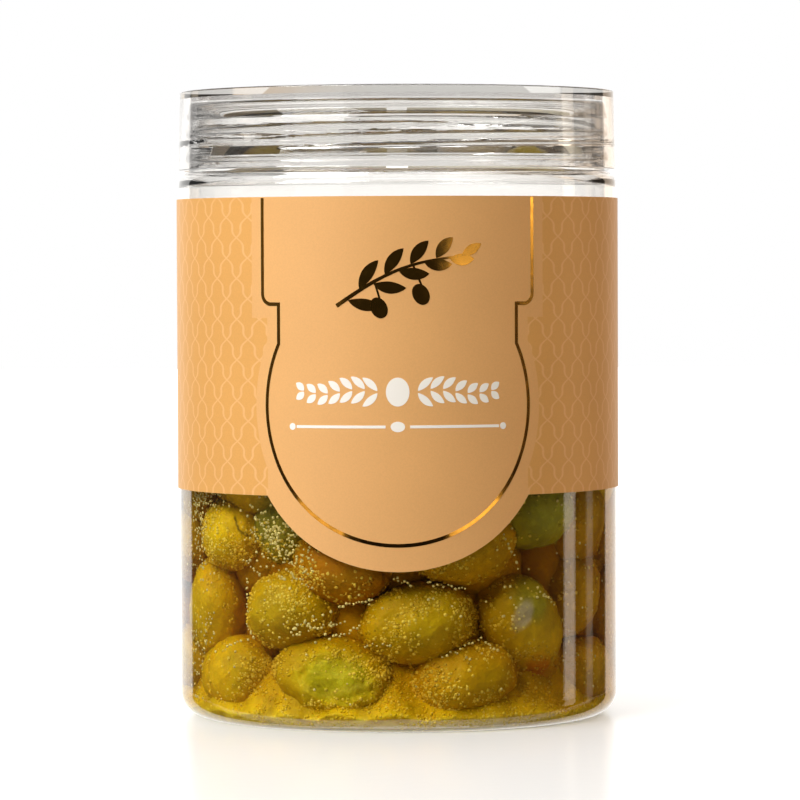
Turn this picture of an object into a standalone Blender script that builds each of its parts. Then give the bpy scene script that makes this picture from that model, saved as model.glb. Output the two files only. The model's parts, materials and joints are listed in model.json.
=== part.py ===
"""A clear straight-sided jar of green olives: jar, screw lid, die-cut wrap label and the heap of olives.

Lengths are in metres and +Z is up. The jar stands on z = 0 with its axis on the Z axis, and the tab of the
label faces -Y. Angles round the jar are in degrees from -Y, turning towards +X.
"""

import math

import bmesh
import bpy
import numpy as np
from mathutils import Matrix, Vector

MM = 0.001

# Driving sizes of the jar, from the photograph's proportions at a body diameter of about 90 mm.
BODY_RADIUS = 44.65 * MM
FOOT_RADIUS = 44.55 * MM
BODY_WALL = 0.90 * MM
HEEL_RADIUS = 4.8 * MM
BASE_THICKNESS = 1.6 * MM
PUSH_UP = 2.0 * MM
STANDING_RING_WIDTH = 3.0 * MM
RING_OUTER_RADIUS = FOOT_RADIUS - HEEL_RADIUS
RING_INNER_RADIUS = RING_OUTER_RADIUS - STANDING_RING_WIDTH
PUSH_UP_BEND = (0.72, 0.85)
SHOULDER_Z = 110.7 * MM
SHOULDER_RADIUS = 2.4 * MM
NECK_RADIUS = 42.4 * MM
NECK_WALL = 1.4 * MM
NECK_TOP_Z = 124.3 * MM
BEAD_Z = 112.9 * MM
BEAD_RADIUS = 0.65 * MM

# The screw lid hides the neck and ends just above the shoulder.
LID_TOP_Z = 127.0 * MM
LID_BOTTOM_Z = 111.0 * MM
LID_FOOT_RADIUS = 44.65 * MM
LID_TOP_RADIUS = 44.30 * MM
LID_WALL = 1.15 * MM
LID_INNER_TOP_RADIUS = 43.40 * MM
LID_PLATE = 1.55 * MM
LID_EDGE_ROUND = 0.55 * MM
LID_RECESS_RADIUS = 40.5 * MM
LID_RECESS_DEPTH = 0.30 * MM
SEAL_RING_RADIUS = 41.6 * MM
SEAL_RING_WIDTH = 0.8 * MM
SEAL_GAP = 0.3 * MM

# Right-hand screw threads: two ridges on the neck and two inside the lid, half a turn apart. The lid's
# ridges lie under the neck's, where no other ridge is below them.
THREAD_STARTS = 2
THREAD_LEAD = 4.5 * MM
NECK_THREAD_TOP_Z = 119.4 * MM
NECK_THREAD_TOP_ANGLE = 14.0
NECK_THREAD_SWEEP = 235.0
NECK_THREAD_TUBE = 0.80 * MM
NECK_THREAD_SINK = 0.15 * MM
LID_THREAD_LAG = 75.0
LID_THREAD_SWEEP = 150.0
LID_THREAD_DROP = 1.80 * MM
LID_THREAD_TUBE = 0.55 * MM
LID_THREAD_REACH = 0.45 * MM
THREAD_STEP_ANGLE = 12.5
THREAD_FADE_ANGLE = 34.0

# The label: a band round the jar with a round tab at the front, and a gap where its ends face each other.
LABEL_GAP = 0.28 * MM
LABEL_THICKNESS = 0.15 * MM
LABEL_TOP_Z = 105.2 * MM
LABEL_BAND_Z = 46.5 * MM
LABEL_TAB_Z = 31.85 * MM
LABEL_TAB_HALF_WIDTH = 27.3 * MM
LABEL_END_GAP = 6.0
LABEL_COLUMN_STEP = 6.4
TAB_COLUMNS = 16

# Olives: the ones that show below the label, placed one by one, then rows against the wall round a solid
# core and one layer across the top.
OLIVE_LENGTH = 20.6 * MM
OLIVE_WIDTH = 15.2 * MM
OLIVE_WALL_GAP = 0.45 * MM
FLOOR_GAP = 0.3 * MM
FLOOR_LEAN = 2.5 * MM
FIRST_ROW_Z = 9.9 * MM
ROW_PITCH = 13.3 * MM
ROWS = 7
PER_ROW = 12
SHOWN_ROWS = 3
BACK_START = 108.0
BACK_END = 252.0
BACK_COUNT = 6
TOP_LAYER_Z = 89.0 * MM
TOP_LAYER_RADIUS = 18.5 * MM
TOP_LAYER_COUNT = 6
LEAST_SPACING = 11.0 * MM
CORE_RADIUS = 34.6 * MM
CORE_BOTTOM_Z = 5.4 * MM
CORE_TOP_Z = 88.0 * MM
SHOWN_SIDES = (9, 6)
HIDDEN_SIDES = (6, 5)
OLIVE_SEED = 11

# Each olive that shows: angle and height of its middle, tilt of its long axis, length, width, and how far it
# stands back from the wall. Heights and sizes are in millimetres.
SHOWN_OLIVES = (
    (-83, 11.5, 24, 18.2, 14.6, 0.5),
    (-55.5, 9.7, 12, 18.8, 15.0, 0.0),
    (-20, 10.2, -9, 22.4, 15.6, 0.0),
    (20, 10.0, 14, 20.2, 15.4, 0.0),
    (45, 9.0, 35, 17.6, 14.0, 5.0),
    (67, 9.6, -8, 18.0, 14.8, 0.4),
    (-67.5, 22.9, 82, 19.0, 15.2, 0.0),
    (-34, 23.7, 18, 17.6, 15.8, 0.0),
    (6, 21.3, 9, 21.5, 15.4, 0.0),
    (39.5, 20.5, -55, 20.2, 15.8, 0.0),
    (62, 26.2, 68, 17.2, 14.4, 1.2),
    (87, 22.6, 72, 18.0, 14.6, 0.6),
    (-86, 35.5, 40, 18.4, 14.6, 0.6),
    (-57, 38.3, 10, 15.6, 14.6, 0.0),
    (-36, 41.0, 62, 17.2, 14.2, 3.5),
    (-17, 32.8, -15, 18.2, 15.2, 0.0),
    (19, 36.2, 5, 20.6, 15.2, 0.0),
    (45, 43.0, 16, 18.4, 15.2, 0.4),
    (65, 40.6, 76, 18.0, 14.6, 0.6),
    (88, 37.6, 12, 17.4, 14.6, 0.6),
)

# Faces round every turned piece.
ROUND_STEPS = 48


def clear_scene():
    for obj in list(bpy.data.objects):
        bpy.data.objects.remove(obj, do_unlink=True)


def collection(name):
    made = bpy.data.collections.new(name)
    bpy.context.scene.collection.children.link(made)
    return made


def material(name, colour, roughness, metallic=0.0, transmission=0.0):
    made = bpy.data.materials.new(name)
    made.use_nodes = True
    shader = made.node_tree.nodes["Principled BSDF"]
    shader.inputs["Base Color"].default_value = (*colour, 1.0)
    shader.inputs["Roughness"].default_value = roughness
    shader.inputs["Metallic"].default_value = metallic
    shader.inputs["Transmission Weight"].default_value = transmission
    made.diffuse_color = (*colour, 1.0)
    return made


def add_object(name, mesh, into, finish=None):
    obj = bpy.data.objects.new(name, mesh)
    into.objects.link(obj)
    if finish is not None:
        mesh.materials.append(finish)
    return obj


def arc(centre_r, centre_z, radius, start, end, steps):
    """Points (r, z) on a round corner, from angle start to end in degrees, 0 pointing outwards and 90 up."""
    angles = [math.radians(start + (end - start) * i / steps) for i in range(steps + 1)]
    return [(centre_r + radius * math.cos(a), centre_z + radius * math.sin(a)) for a in angles]


def turned(name, profile, into, finish):
    """A turned solid from a profile of (r, z) points that starts and ends on the axis, outer side downwards."""
    mesh = bpy.data.meshes.new(name)
    edges = [(i, i + 1) for i in range(len(profile) - 1)]
    mesh.from_pydata([(r, 0.0, z) for r, z in profile], edges, [])
    obj = add_object(name, mesh, into, finish)
    screw = obj.modifiers.new("Turn", "SCREW")
    screw.axis = "Z"
    screw.steps = ROUND_STEPS
    screw.render_steps = ROUND_STEPS
    screw.use_merge_vertices = True
    screw.merge_threshold = 1e-5
    return obj


def apply_modifiers(obj):
    """Makes what the modifiers give the object's own mesh."""
    graph = bpy.context.evaluated_depsgraph_get()
    mesh = bpy.data.meshes.new_from_object(obj.evaluated_get(graph))
    obj.modifiers.clear()
    obj.data = mesh


def fuse(obj, pieces_collection, solver="EXACT"):
    """Joins every object of a collection into obj with one Boolean union, and removes them."""
    union = obj.modifiers.new("Fuse", "BOOLEAN")
    union.operation = "UNION"
    union.operand_type = "COLLECTION"
    union.collection = pieces_collection
    union.solver = solver
    apply_modifiers(obj)
    for piece in list(pieces_collection.objects):
        bpy.data.objects.remove(piece, do_unlink=True)
    bpy.data.collections.remove(pieces_collection)


def smooth(obj, sharp_angle=35.0):
    obj.data.shade_smooth()
    obj.data.set_sharp_from_angle(angle=math.radians(sharp_angle))


def jar_profile():
    """Inner floor, inner wall, lip, outer neck with its bead, shoulder, wall, heel, standing ring, push-up."""
    inner_radius = BODY_RADIUS - BODY_WALL
    inner_foot = FOOT_RADIUS - BODY_WALL
    neck_inner = NECK_RADIUS - NECK_WALL
    heel_inner = HEEL_RADIUS - BODY_WALL
    lip = NECK_WALL / 2
    bend_r, bend_z = PUSH_UP_BEND[0] * RING_INNER_RADIUS, PUSH_UP_BEND[1] * PUSH_UP
    shoulder_r = BODY_RADIUS - SHOULDER_RADIUS
    shoulder_z = SHOULDER_Z - SHOULDER_RADIUS
    points = [(0.0, BASE_THICKNESS + PUSH_UP), (bend_r, BASE_THICKNESS + bend_z)]
    points += [(RING_INNER_RADIUS, BASE_THICKNESS)]
    points += arc(inner_foot - heel_inner, BASE_THICKNESS + heel_inner, heel_inner, -90, 0, 4)
    points += arc(inner_radius - SHOULDER_RADIUS, shoulder_z - BODY_WALL, SHOULDER_RADIUS, 0, 60, 2)
    points += [(neck_inner, SHOULDER_Z + NECK_WALL)]
    points += arc(neck_inner + lip, NECK_TOP_Z - lip, lip, 180, 0, 4)
    points += arc(NECK_RADIUS - 0.05 * MM, BEAD_Z, BEAD_RADIUS, 80, -80, 3)
    points += [(NECK_RADIUS, SHOULDER_Z + 0.3 * MM)]
    points += arc(shoulder_r, shoulder_z, SHOULDER_RADIUS, 80, 0, 4)
    points += arc(RING_OUTER_RADIUS, HEEL_RADIUS, HEEL_RADIUS, 0, -90, 5)
    points += [(RING_INNER_RADIUS, 0.0), (bend_r, bend_z), (0.0, PUSH_UP)]
    return points


def lid_profile():
    """Top with its shallow recess, rounded edge, tapering skirt, inner skirt, seal ring, underside."""
    inner_foot = LID_FOOT_RADIUS - LID_WALL
    under = LID_TOP_Z - LID_PLATE
    seal_bottom = NECK_TOP_Z + SEAL_GAP
    recess_floor = LID_TOP_Z - LID_RECESS_DEPTH
    points = [(0.0, recess_floor), (LID_RECESS_RADIUS, recess_floor)]
    points += [(LID_RECESS_RADIUS + LID_RECESS_DEPTH, LID_TOP_Z)]
    points += arc(LID_TOP_RADIUS - LID_EDGE_ROUND, LID_TOP_Z - LID_EDGE_ROUND, LID_EDGE_ROUND, 90, 0, 3)
    points += [(LID_FOOT_RADIUS, LID_BOTTOM_Z + 0.2 * MM), (LID_FOOT_RADIUS - 0.2 * MM, LID_BOTTOM_Z)]
    points += [(inner_foot, LID_BOTTOM_Z), (LID_INNER_TOP_RADIUS, under)]
    points += [(SEAL_RING_RADIUS + SEAL_RING_WIDTH / 2, under), (SEAL_RING_RADIUS + SEAL_RING_WIDTH / 2, seal_bottom)]
    points += [(SEAL_RING_RADIUS - SEAL_RING_WIDTH / 2, seal_bottom), (SEAL_RING_RADIUS - SEAL_RING_WIDTH / 2, under)]
    points += [(0.0, under)]
    return points


def keep_largest_body(obj):
    """Drops the hollows that fusing sealed and any loose scrap, which leaves the outer skin alone."""
    bm = bmesh.new()
    bm.from_mesh(obj.data)
    bodies = []
    waiting = set(bm.faces)
    while waiting:
        edge_of_body = [waiting.pop()]
        body = set(edge_of_body)
        while edge_of_body:
            face = edge_of_body.pop()
            near = {f for edge in face.edges for f in edge.link_faces} & waiting
            waiting -= near
            body |= near
            edge_of_body += near
        bodies.append(body)
    largest = max(bodies, key=len)
    loose = [face for body in bodies if body is not largest for face in body]
    bmesh.ops.delete(bm, geom=loose, context="FACES")
    bm.to_mesh(obj.data)
    bm.free()


def thread_ridge(name, radius, tube, top_angle, top_z, sweep, into):
    """One thread ridge: a round tube down a helix, half sunk in the wall, fading out at both ends."""
    curve = bpy.data.curves.new(name, "CURVE")
    curve.dimensions = "3D"
    curve.bevel_depth = tube
    curve.bevel_resolution = 1
    curve.use_fill_caps = True
    line = curve.splines.new("POLY")
    steps = round(sweep / THREAD_STEP_ANGLE)
    line.points.add(steps)
    for i, point in enumerate(line.points):
        turned_by = sweep * i / steps
        angle = math.radians(top_angle - turned_by)
        height = top_z - THREAD_LEAD * turned_by / 360.0
        fade = min(1.0, turned_by / THREAD_FADE_ANGLE, (sweep - turned_by) / THREAD_FADE_ANGLE)
        point.co = (radius * math.sin(angle), -radius * math.cos(angle), height, 1.0)
        point.radius = 0.35 + 0.65 * math.sin(fade * math.pi / 2)
    tube_object = add_object(name + "_curve", curve, into)
    graph = bpy.context.evaluated_depsgraph_get()
    mesh = bpy.data.meshes.new_from_object(tube_object.evaluated_get(graph))
    bpy.data.objects.remove(tube_object, do_unlink=True)
    bm = bmesh.new()
    bm.from_mesh(mesh)
    bmesh.ops.remove_doubles(bm, verts=bm.verts, dist=1e-6)
    bmesh.ops.recalc_face_normals(bm, faces=bm.faces)
    bm.to_mesh(mesh)
    bm.free()
    return add_object(name, mesh, into)


def add_threads(obj, radius, tube, top_angle, top_z, sweep):
    """Fuses the thread ridges, evenly spaced round the wall, into a turned piece."""
    ridges = collection(obj.name + "_ridges")
    for start in range(THREAD_STARTS):
        angle = top_angle + 360.0 * start / THREAD_STARTS
        thread_ridge(f"{obj.name}_ridge_{start + 1}", radius, tube, angle, top_z, sweep, ridges)
    fuse(obj, ridges)


def build_jar(into, finish):
    jar = turned("jar", jar_profile(), into, finish)
    apply_modifiers(jar)
    radius = NECK_RADIUS - NECK_THREAD_SINK
    add_threads(jar, radius, NECK_THREAD_TUBE, NECK_THREAD_TOP_ANGLE, NECK_THREAD_TOP_Z, NECK_THREAD_SWEEP)
    smooth(jar)


def build_lid(into, finish):
    lid = turned("lid", lid_profile(), into, finish)
    apply_modifiers(lid)
    radius = LID_INNER_TOP_RADIUS + LID_THREAD_TUBE - LID_THREAD_REACH
    angle = NECK_THREAD_TOP_ANGLE - LID_THREAD_LAG
    top_z = NECK_THREAD_TOP_Z - THREAD_LEAD * LID_THREAD_LAG / 360.0 - LID_THREAD_DROP
    add_threads(lid, radius, LID_THREAD_TUBE, angle, top_z, LID_THREAD_SWEEP)
    smooth(lid)


def label_lower_edge(across):
    """Height of the label's lower edge at a distance across from the tab's middle: the band, or the tab's arc."""
    depth = LABEL_BAND_Z - LABEL_TAB_Z
    radius = (LABEL_TAB_HALF_WIDTH**2 + depth**2) / (2 * depth)
    if abs(across) >= LABEL_TAB_HALF_WIDTH:
        return LABEL_BAND_Z
    return LABEL_TAB_Z + radius - math.sqrt(radius**2 - across**2)


def build_label(into, finish):
    """An open sheet of one column of faces for each step round the jar, thickened outwards by Solidify."""
    radius = BODY_RADIUS + LABEL_GAP
    tab_angle = math.degrees(LABEL_TAB_HALF_WIDTH / radius)
    tab = [tab_angle * math.sin(math.pi / 2 * (2 * i / TAB_COLUMNS - 1)) for i in range(TAB_COLUMNS + 1)]
    side_span = 180.0 - LABEL_END_GAP / 2 - tab_angle
    side_steps = math.ceil(side_span / LABEL_COLUMN_STEP)
    side = [tab_angle + side_span * (i + 1) / side_steps for i in range(side_steps)]
    angles = [-a for a in reversed(side)] + tab + side
    bm = bmesh.new()
    columns = []
    for angle in angles:
        turn = math.radians(angle)
        lower = label_lower_edge(turn * radius)
        x, y = radius * math.sin(turn), -radius * math.cos(turn)
        columns.append((bm.verts.new((x, y, lower)), bm.verts.new((x, y, LABEL_TOP_Z))))
    for left, right in zip(columns, columns[1:]):
        bm.faces.new((left[0], right[0], right[1], left[1]))
    mesh = bpy.data.meshes.new("label")
    bm.to_mesh(mesh)
    bm.free()
    label = add_object("label", mesh, into, finish)
    sheet = label.modifiers.new("Paper", "SOLIDIFY")
    sheet.thickness = LABEL_THICKNESS
    sheet.offset = 1.0
    smooth(label)


def inner_floor(radius):
    """Height of the jar's floor inside: level over the standing ring, then rising over the push-up."""
    bend_r = PUSH_UP_BEND[0] * RING_INNER_RADIUS
    share = (RING_INNER_RADIUS - radius) / (RING_INNER_RADIUS - bend_r)
    return BASE_THICKNESS + PUSH_UP_BEND[1] * PUSH_UP * min(1.0, max(0.0, share))


def placed_olive(angle, height, tilt, length, width, back, lean=0.0):
    """(centre, long axis, length, width) of an olive against the wall. Its long axis lies along the wall,
    tilted up by tilt and turned inwards by lean, and it never goes through the jar's floor."""
    turn, slope = math.radians(angle), math.radians(tilt)
    out = Vector((math.sin(turn), -math.cos(turn), 0.0))
    along = Vector((math.cos(turn), math.sin(turn), 0.0)) * math.cos(slope) + Vector((0.0, 0.0, math.sin(slope)))
    along = Matrix.Rotation(math.radians(lean), 3, out.cross(along)) @ along
    half_height = math.hypot(length / 2 * math.sin(slope), width / 2 * math.cos(slope))
    radius = FOOT_RADIUS - BODY_WALL - OLIVE_WALL_GAP - width / 2 - back
    height = max(height, inner_floor(radius - FLOOR_LEAN) + FLOOR_GAP + half_height)
    centre = out * radius + Vector((0.0, 0.0, height))
    return centre, along.normalized(), length, width


def hidden_places():
    """(angle, height) of the olives that stand in rows behind the label and round the back."""
    for row in range(ROWS):
        height = FIRST_ROW_Z + ROW_PITCH * row
        if row < SHOWN_ROWS:
            step = (BACK_END - BACK_START) / (BACK_COUNT - 1)
            angles = [BACK_START + step * i for i in range(BACK_COUNT)]
        else:
            angles = [360.0 / PER_ROW * (i + 0.5 * (row % 2)) for i in range(PER_ROW)]
        for angle in angles:
            yield angle, height


def olive_layout():
    """Every olive of the heap's skin: the ones that show, then the hidden rows, then the top layer."""
    draw = np.random.default_rng(OLIVE_SEED)
    shown = [placed_olive(a, z * MM, tilt, length * MM, width * MM, back * MM)
             for a, z, tilt, length, width, back in SHOWN_OLIVES]
    hidden = []
    for angle, height in hidden_places():
        angle += draw.uniform(-3.5, 3.5)
        height += draw.uniform(-0.8, 0.8) * MM
        tilt = draw.uniform(-28, 28) + (60 if draw.uniform() < 0.2 else 0)
        length, width = OLIVE_LENGTH * draw.uniform(0.93, 1.04), OLIVE_WIDTH * draw.uniform(0.95, 1.03)
        olive = placed_olive(angle, height, tilt, length, width, draw.uniform(0, 0.9) * MM, draw.uniform(-6, 6))
        if min((olive[0] - other[0]).length for other in shown) > LEAST_SPACING:
            hidden.append(olive)
    for i in range(TOP_LAYER_COUNT + 1):
        radius = 0.0 if i == TOP_LAYER_COUNT else TOP_LAYER_RADIUS
        turn = 2 * math.pi * i / TOP_LAYER_COUNT + draw.uniform(-0.15, 0.15)
        heading = draw.uniform(0, math.pi)
        height = TOP_LAYER_Z + draw.uniform(-1, 1) * MM
        centre = Vector((radius * math.sin(turn), radius * math.cos(turn), height))
        along = Vector((math.cos(heading), math.sin(heading), draw.uniform(-0.25, 0.25))).normalized()
        hidden.append((centre, along, OLIVE_LENGTH, OLIVE_WIDTH))
    return shown, hidden


def olive_solid(name, centre, along, length, width, sides, into):
    """A plain olive: a coarse ball stretched along its own axis."""
    turn = along.to_track_quat("Z", "Y").to_matrix().to_4x4()
    size = Matrix.Diagonal((width / 2, width / 2, length / 2, 1.0))
    bm = bmesh.new()
    bmesh.ops.create_uvsphere(bm, u_segments=sides[0], v_segments=sides[1], radius=1.0,
                              matrix=Matrix.Translation(centre) @ turn @ size)
    mesh = bpy.data.meshes.new(name)
    bm.to_mesh(mesh)
    bm.free()
    return add_object(name, mesh, into)


def build_olives(into, finish):
    """The heap: a solid core with every olive of its skin fused on."""
    height = CORE_TOP_Z - CORE_BOTTOM_Z
    mesh = bpy.data.meshes.new("olives")
    bm = bmesh.new()
    bmesh.ops.create_cone(bm, cap_ends=True, segments=ROUND_STEPS // 2, radius1=CORE_RADIUS,
                          radius2=CORE_RADIUS, depth=height,
                          matrix=Matrix.Translation((0.0, 0.0, CORE_BOTTOM_Z + height / 2)))
    bm.to_mesh(mesh)
    bm.free()
    heap = add_object("olives", mesh, into, finish)
    shown, hidden = olive_layout()
    pieces = collection("single_olives")
    for number, olive in enumerate(shown + hidden, start=1):
        sides = SHOWN_SIDES if number <= len(shown) else HIDDEN_SIDES
        olive_solid(f"olive_{number}", *olive, sides, pieces)
    fuse(heap, pieces, "MANIFOLD")
    keep_largest_body(heap)
    smooth(heap)


def main():
    clear_scene()
    parts = collection("jar_of_green_olives")
    build_jar(parts, material("clear_jar", (0.93, 0.94, 0.93), 0.05, transmission=1.0))
    build_lid(parts, material("clear_lid", (0.90, 0.92, 0.94), 0.06, transmission=1.0))
    build_label(parts, material("label_paper", (0.80, 0.45, 0.18), 0.42, metallic=0.3))
    build_olives(parts, material("olive_skin", (0.42, 0.33, 0.03), 0.35))


main()
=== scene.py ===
# %% [markdown]
# A clear jar of green olives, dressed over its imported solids. The real thing is a straight plastic jar with a
# clear screw lid, a copper-coloured film label with a foil line, and olives in yellow brine. This file builds
# each of these as a smooth surface from formulas, in the same place and size as the solids. The steps go from
# the camera and the light to the jar, the lid, the label and its print, and then the food inside.

# %% Load the solids that everything is built around
import json
import math

import bpy
import numpy as np
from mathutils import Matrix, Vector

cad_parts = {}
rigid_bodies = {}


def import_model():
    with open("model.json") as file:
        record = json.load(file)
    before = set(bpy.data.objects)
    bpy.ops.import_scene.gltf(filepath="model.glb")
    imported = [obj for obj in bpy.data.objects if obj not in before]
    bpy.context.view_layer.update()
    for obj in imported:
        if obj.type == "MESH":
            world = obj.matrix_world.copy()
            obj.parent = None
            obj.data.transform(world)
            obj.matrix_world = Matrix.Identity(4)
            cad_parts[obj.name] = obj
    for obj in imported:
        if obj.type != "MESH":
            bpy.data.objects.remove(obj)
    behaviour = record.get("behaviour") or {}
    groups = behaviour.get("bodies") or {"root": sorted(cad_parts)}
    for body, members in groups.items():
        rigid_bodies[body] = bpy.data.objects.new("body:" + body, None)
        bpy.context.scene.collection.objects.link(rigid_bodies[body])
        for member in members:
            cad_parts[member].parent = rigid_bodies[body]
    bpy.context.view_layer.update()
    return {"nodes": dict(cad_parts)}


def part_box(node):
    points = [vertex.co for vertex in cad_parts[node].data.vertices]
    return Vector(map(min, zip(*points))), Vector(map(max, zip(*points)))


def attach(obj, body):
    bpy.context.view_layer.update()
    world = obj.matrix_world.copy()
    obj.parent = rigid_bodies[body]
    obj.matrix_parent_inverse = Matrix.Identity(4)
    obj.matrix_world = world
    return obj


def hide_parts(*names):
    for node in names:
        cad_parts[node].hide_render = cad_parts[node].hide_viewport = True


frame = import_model()
MM = 0.001
BODY = "root"
print("solids loaded:", sorted(frame["nodes"]))

# %% [markdown]
# The main sizes come from the solids' own boxes, so the looks can't drift away from them. Walls, gaps and the
# screw thread are named here in real millimetres, because a box doesn't tell them.

# %% Read the main sizes from the solids
JAR_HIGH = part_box("jar")[1]
LID_LOW, LID_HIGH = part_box("lid")
LABEL_LOW, LABEL_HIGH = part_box("label")
BODY_RADIUS = 44.65 * MM
FOOT_RADIUS = 44.55 * MM
BODY_WALL = 0.90 * MM
HEEL_RADIUS = 4.8 * MM
BASE_THICKNESS = 1.6 * MM
PUSH_UP = 2.0 * MM
STANDING_RING_WIDTH = 3.0 * MM
SHOULDER_Z = 110.7 * MM
SHOULDER_RADIUS = 2.4 * MM
NECK_RADIUS = 42.4 * MM
NECK_WALL = 1.4 * MM
NECK_TOP_Z = JAR_HIGH.z
BEAD_Z = 112.9 * MM
BEAD_RADIUS = 0.65 * MM
print("jar stands %.1f mm high, with its lid %.1f mm" % (JAR_HIGH.z / MM, LID_HIGH.z / MM))

# %% [markdown]
# Every surface here is a grid of points worked out with numpy in one go, and Blender gets points and faces as
# whole arrays. This is much faster than adding vertices one by one, and the faces come out in a known order.

# %% From arrays to a mesh


def mesh_from(name, points, corners, sides):
    """Makes an object from point and face arrays. sides gives the corner count of each face in order."""
    mesh = bpy.data.meshes.new(name)
    mesh.vertices.add(len(points))
    mesh.vertices.foreach_set("co", np.asarray(points, np.float32).ravel())
    mesh.loops.add(len(corners))
    mesh.loops.foreach_set("vertex_index", np.asarray(corners, np.int32))
    starts = np.concatenate([[0], np.cumsum(sides)[:-1]])
    mesh.polygons.add(len(sides))
    mesh.polygons.foreach_set("loop_start", starts.astype(np.int32))
    mesh.update(calc_edges=True)
    mesh.validate()
    mesh.shade_smooth()
    piece = bpy.data.objects.new(name, mesh)
    bpy.context.scene.collection.objects.link(piece)
    return piece


print("meshes are made from arrays")

# %% [markdown]
# Two kinds of face lists cover every shape here. A grid can join its last column to its first, which closes a
# round shape. A ball is such a grid with one more point at each end, which closes the poles without a hole.

# %% Faces of grids and balls


def grid_faces(rows, columns, around):
    """Four-sided faces of a rows by columns grid. around joins the last column to the first."""
    last = columns if around else columns - 1
    row, column = np.meshgrid(np.arange(rows - 1), np.arange(last), indexing="ij")
    beside = (column + 1) % columns
    near = row * columns
    quads = np.stack([near + column, near + beside, near + columns + beside, near + columns + column], -1)
    return quads.reshape(-1, 4)


def ball_faces(rows, columns):
    """Faces of a ball: a grid that goes round, with one more point at each end (the last two points)."""
    quads = grid_faces(rows, columns, True)
    column = np.arange(columns)
    beside = (column + 1) % columns
    first = np.stack([np.full(columns, rows * columns), beside, column], -1)
    base = (rows - 1) * columns
    last = np.stack([np.full(columns, rows * columns + 1), base + column, base + beside], -1)
    return quads, np.concatenate([first, last])


print("a ball of 4 x 6 points has %d faces" % sum(map(len, ball_faces(4, 6))))

# %% [markdown]
# Faces have to point outwards, or glass would bend light the wrong way. The volume that a closed mesh holds is
# negative when they point inwards, so each piece is measured, and turned over where it has to be.

# %% Pieces whose faces point outwards


def volume_inside(points, quads, triangles):
    """Volume that the faces hold: the sum of the pyramids from the origin to each face. It is negative when the
    faces point inwards."""
    split = np.concatenate([quads[:, [0, 1, 2]], quads[:, [0, 2, 3]], triangles])
    a, b, c = (points[split[:, i]] for i in range(3))
    return float((a * np.cross(b, c)).sum() / 6)


def piece_from_faces(name, points, quads, triangles=()):
    """A piece from four-sided faces and triangles, turned over where they would point inwards."""
    triangles = np.asarray(triangles, int).reshape(-1, 3)
    if volume_inside(points, quads, triangles) < 0:
        quads, triangles = quads[:, ::-1], triangles[:, ::-1]
    corners = np.concatenate([quads.ravel(), triangles.ravel()])
    sides = np.concatenate([np.full(len(quads), 4), np.full(len(triangles), 3)])
    return mesh_from(name, points, corners, sides)


def crease(piece, degrees=32.0):
    """Keeps real corners crisp: an edge sharper than this isn't smoothed over."""
    piece.data.set_sharp_from_angle(angle=math.radians(degrees))
    return piece


def dress(piece, finish, slot, *nodes):
    """Gives a piece its finish, lets it ride with the jar, and says which solids it stands for."""
    piece.data.materials.append(finish)
    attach(piece, BODY)
    if nodes:
        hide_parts(*nodes)
    return piece


print("every piece rides with the body:", BODY)

# %% [markdown]
# Jar, lid and brine are round, so each is a profile carried round the upright axis. A profile is a list of
# (radius, height) points put together from straight runs and round corners, as on a mould maker's drawing.

# %% Turned pieces
ROUND_STEPS = 288


def turned(name, profile, swell=None):
    """A closed turned piece. The profile is (radius, height) points that start and end on the axis. Each point
    is carried round the Z axis, at angle a to (r sin a, -r cos a, z), so that angle 0 faces -Y. swell adds to
    the radius a height that depends on angle, radius and height."""
    inner = np.asarray(profile[1:-1], float)
    angle = np.linspace(0, 2 * np.pi, ROUND_STEPS, endpoint=False)
    radius = np.repeat(inner[:, :1], ROUND_STEPS, axis=1)
    height = np.repeat(inner[:, 1:], ROUND_STEPS, axis=1)
    if swell is not None:
        radius = radius + swell(angle[None, :], radius, height)
    grid = np.stack([radius * np.sin(angle), -radius * np.cos(angle), height], -1).reshape(-1, 3)
    ends = np.array([[0, 0, profile[0][1]], [0, 0, profile[-1][1]]])
    quads, triangles = ball_faces(len(inner), ROUND_STEPS)
    piece = piece_from_faces(name, np.concatenate([grid, ends]), quads[:, ::-1], triangles[:, ::-1])
    print("%s: %d faces" % (name, len(piece.data.polygons)))
    return piece


def arc(centre_r, centre_z, radius, start, end, steps):
    """Points (r, z) on a round corner: centre plus radius times cosine and sine of an angle in degrees."""
    turn = np.radians(np.linspace(start, end, steps + 1))
    return list(zip(centre_r + radius * np.cos(turn), centre_z + radius * np.sin(turn)))


def line(start, end, steps):
    """Points (r, z) spaced evenly on a straight run, both ends included."""
    share = np.linspace(0, 1, steps + 1)[:, None]
    return list(map(tuple, np.asarray(start) * (1 - share) + np.asarray(end) * share))


step_length = 2 * math.pi * BODY_RADIUS / ROUND_STEPS
print("round pieces have %d steps, %.2f mm each at the wall" % (ROUND_STEPS, step_length / MM))

# %% [markdown]
# The photograph was taken with a long lens, a little above the middle of the jar, so the lens here is long too
# and stands about 0.9 m away. That keeps the top and bottom edges nearly flat. The tiny roll copies the slight
# lean that the jar has in the picture. Clear walls need many bounces of light, because a ray that stops too
# early comes back black.

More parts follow.
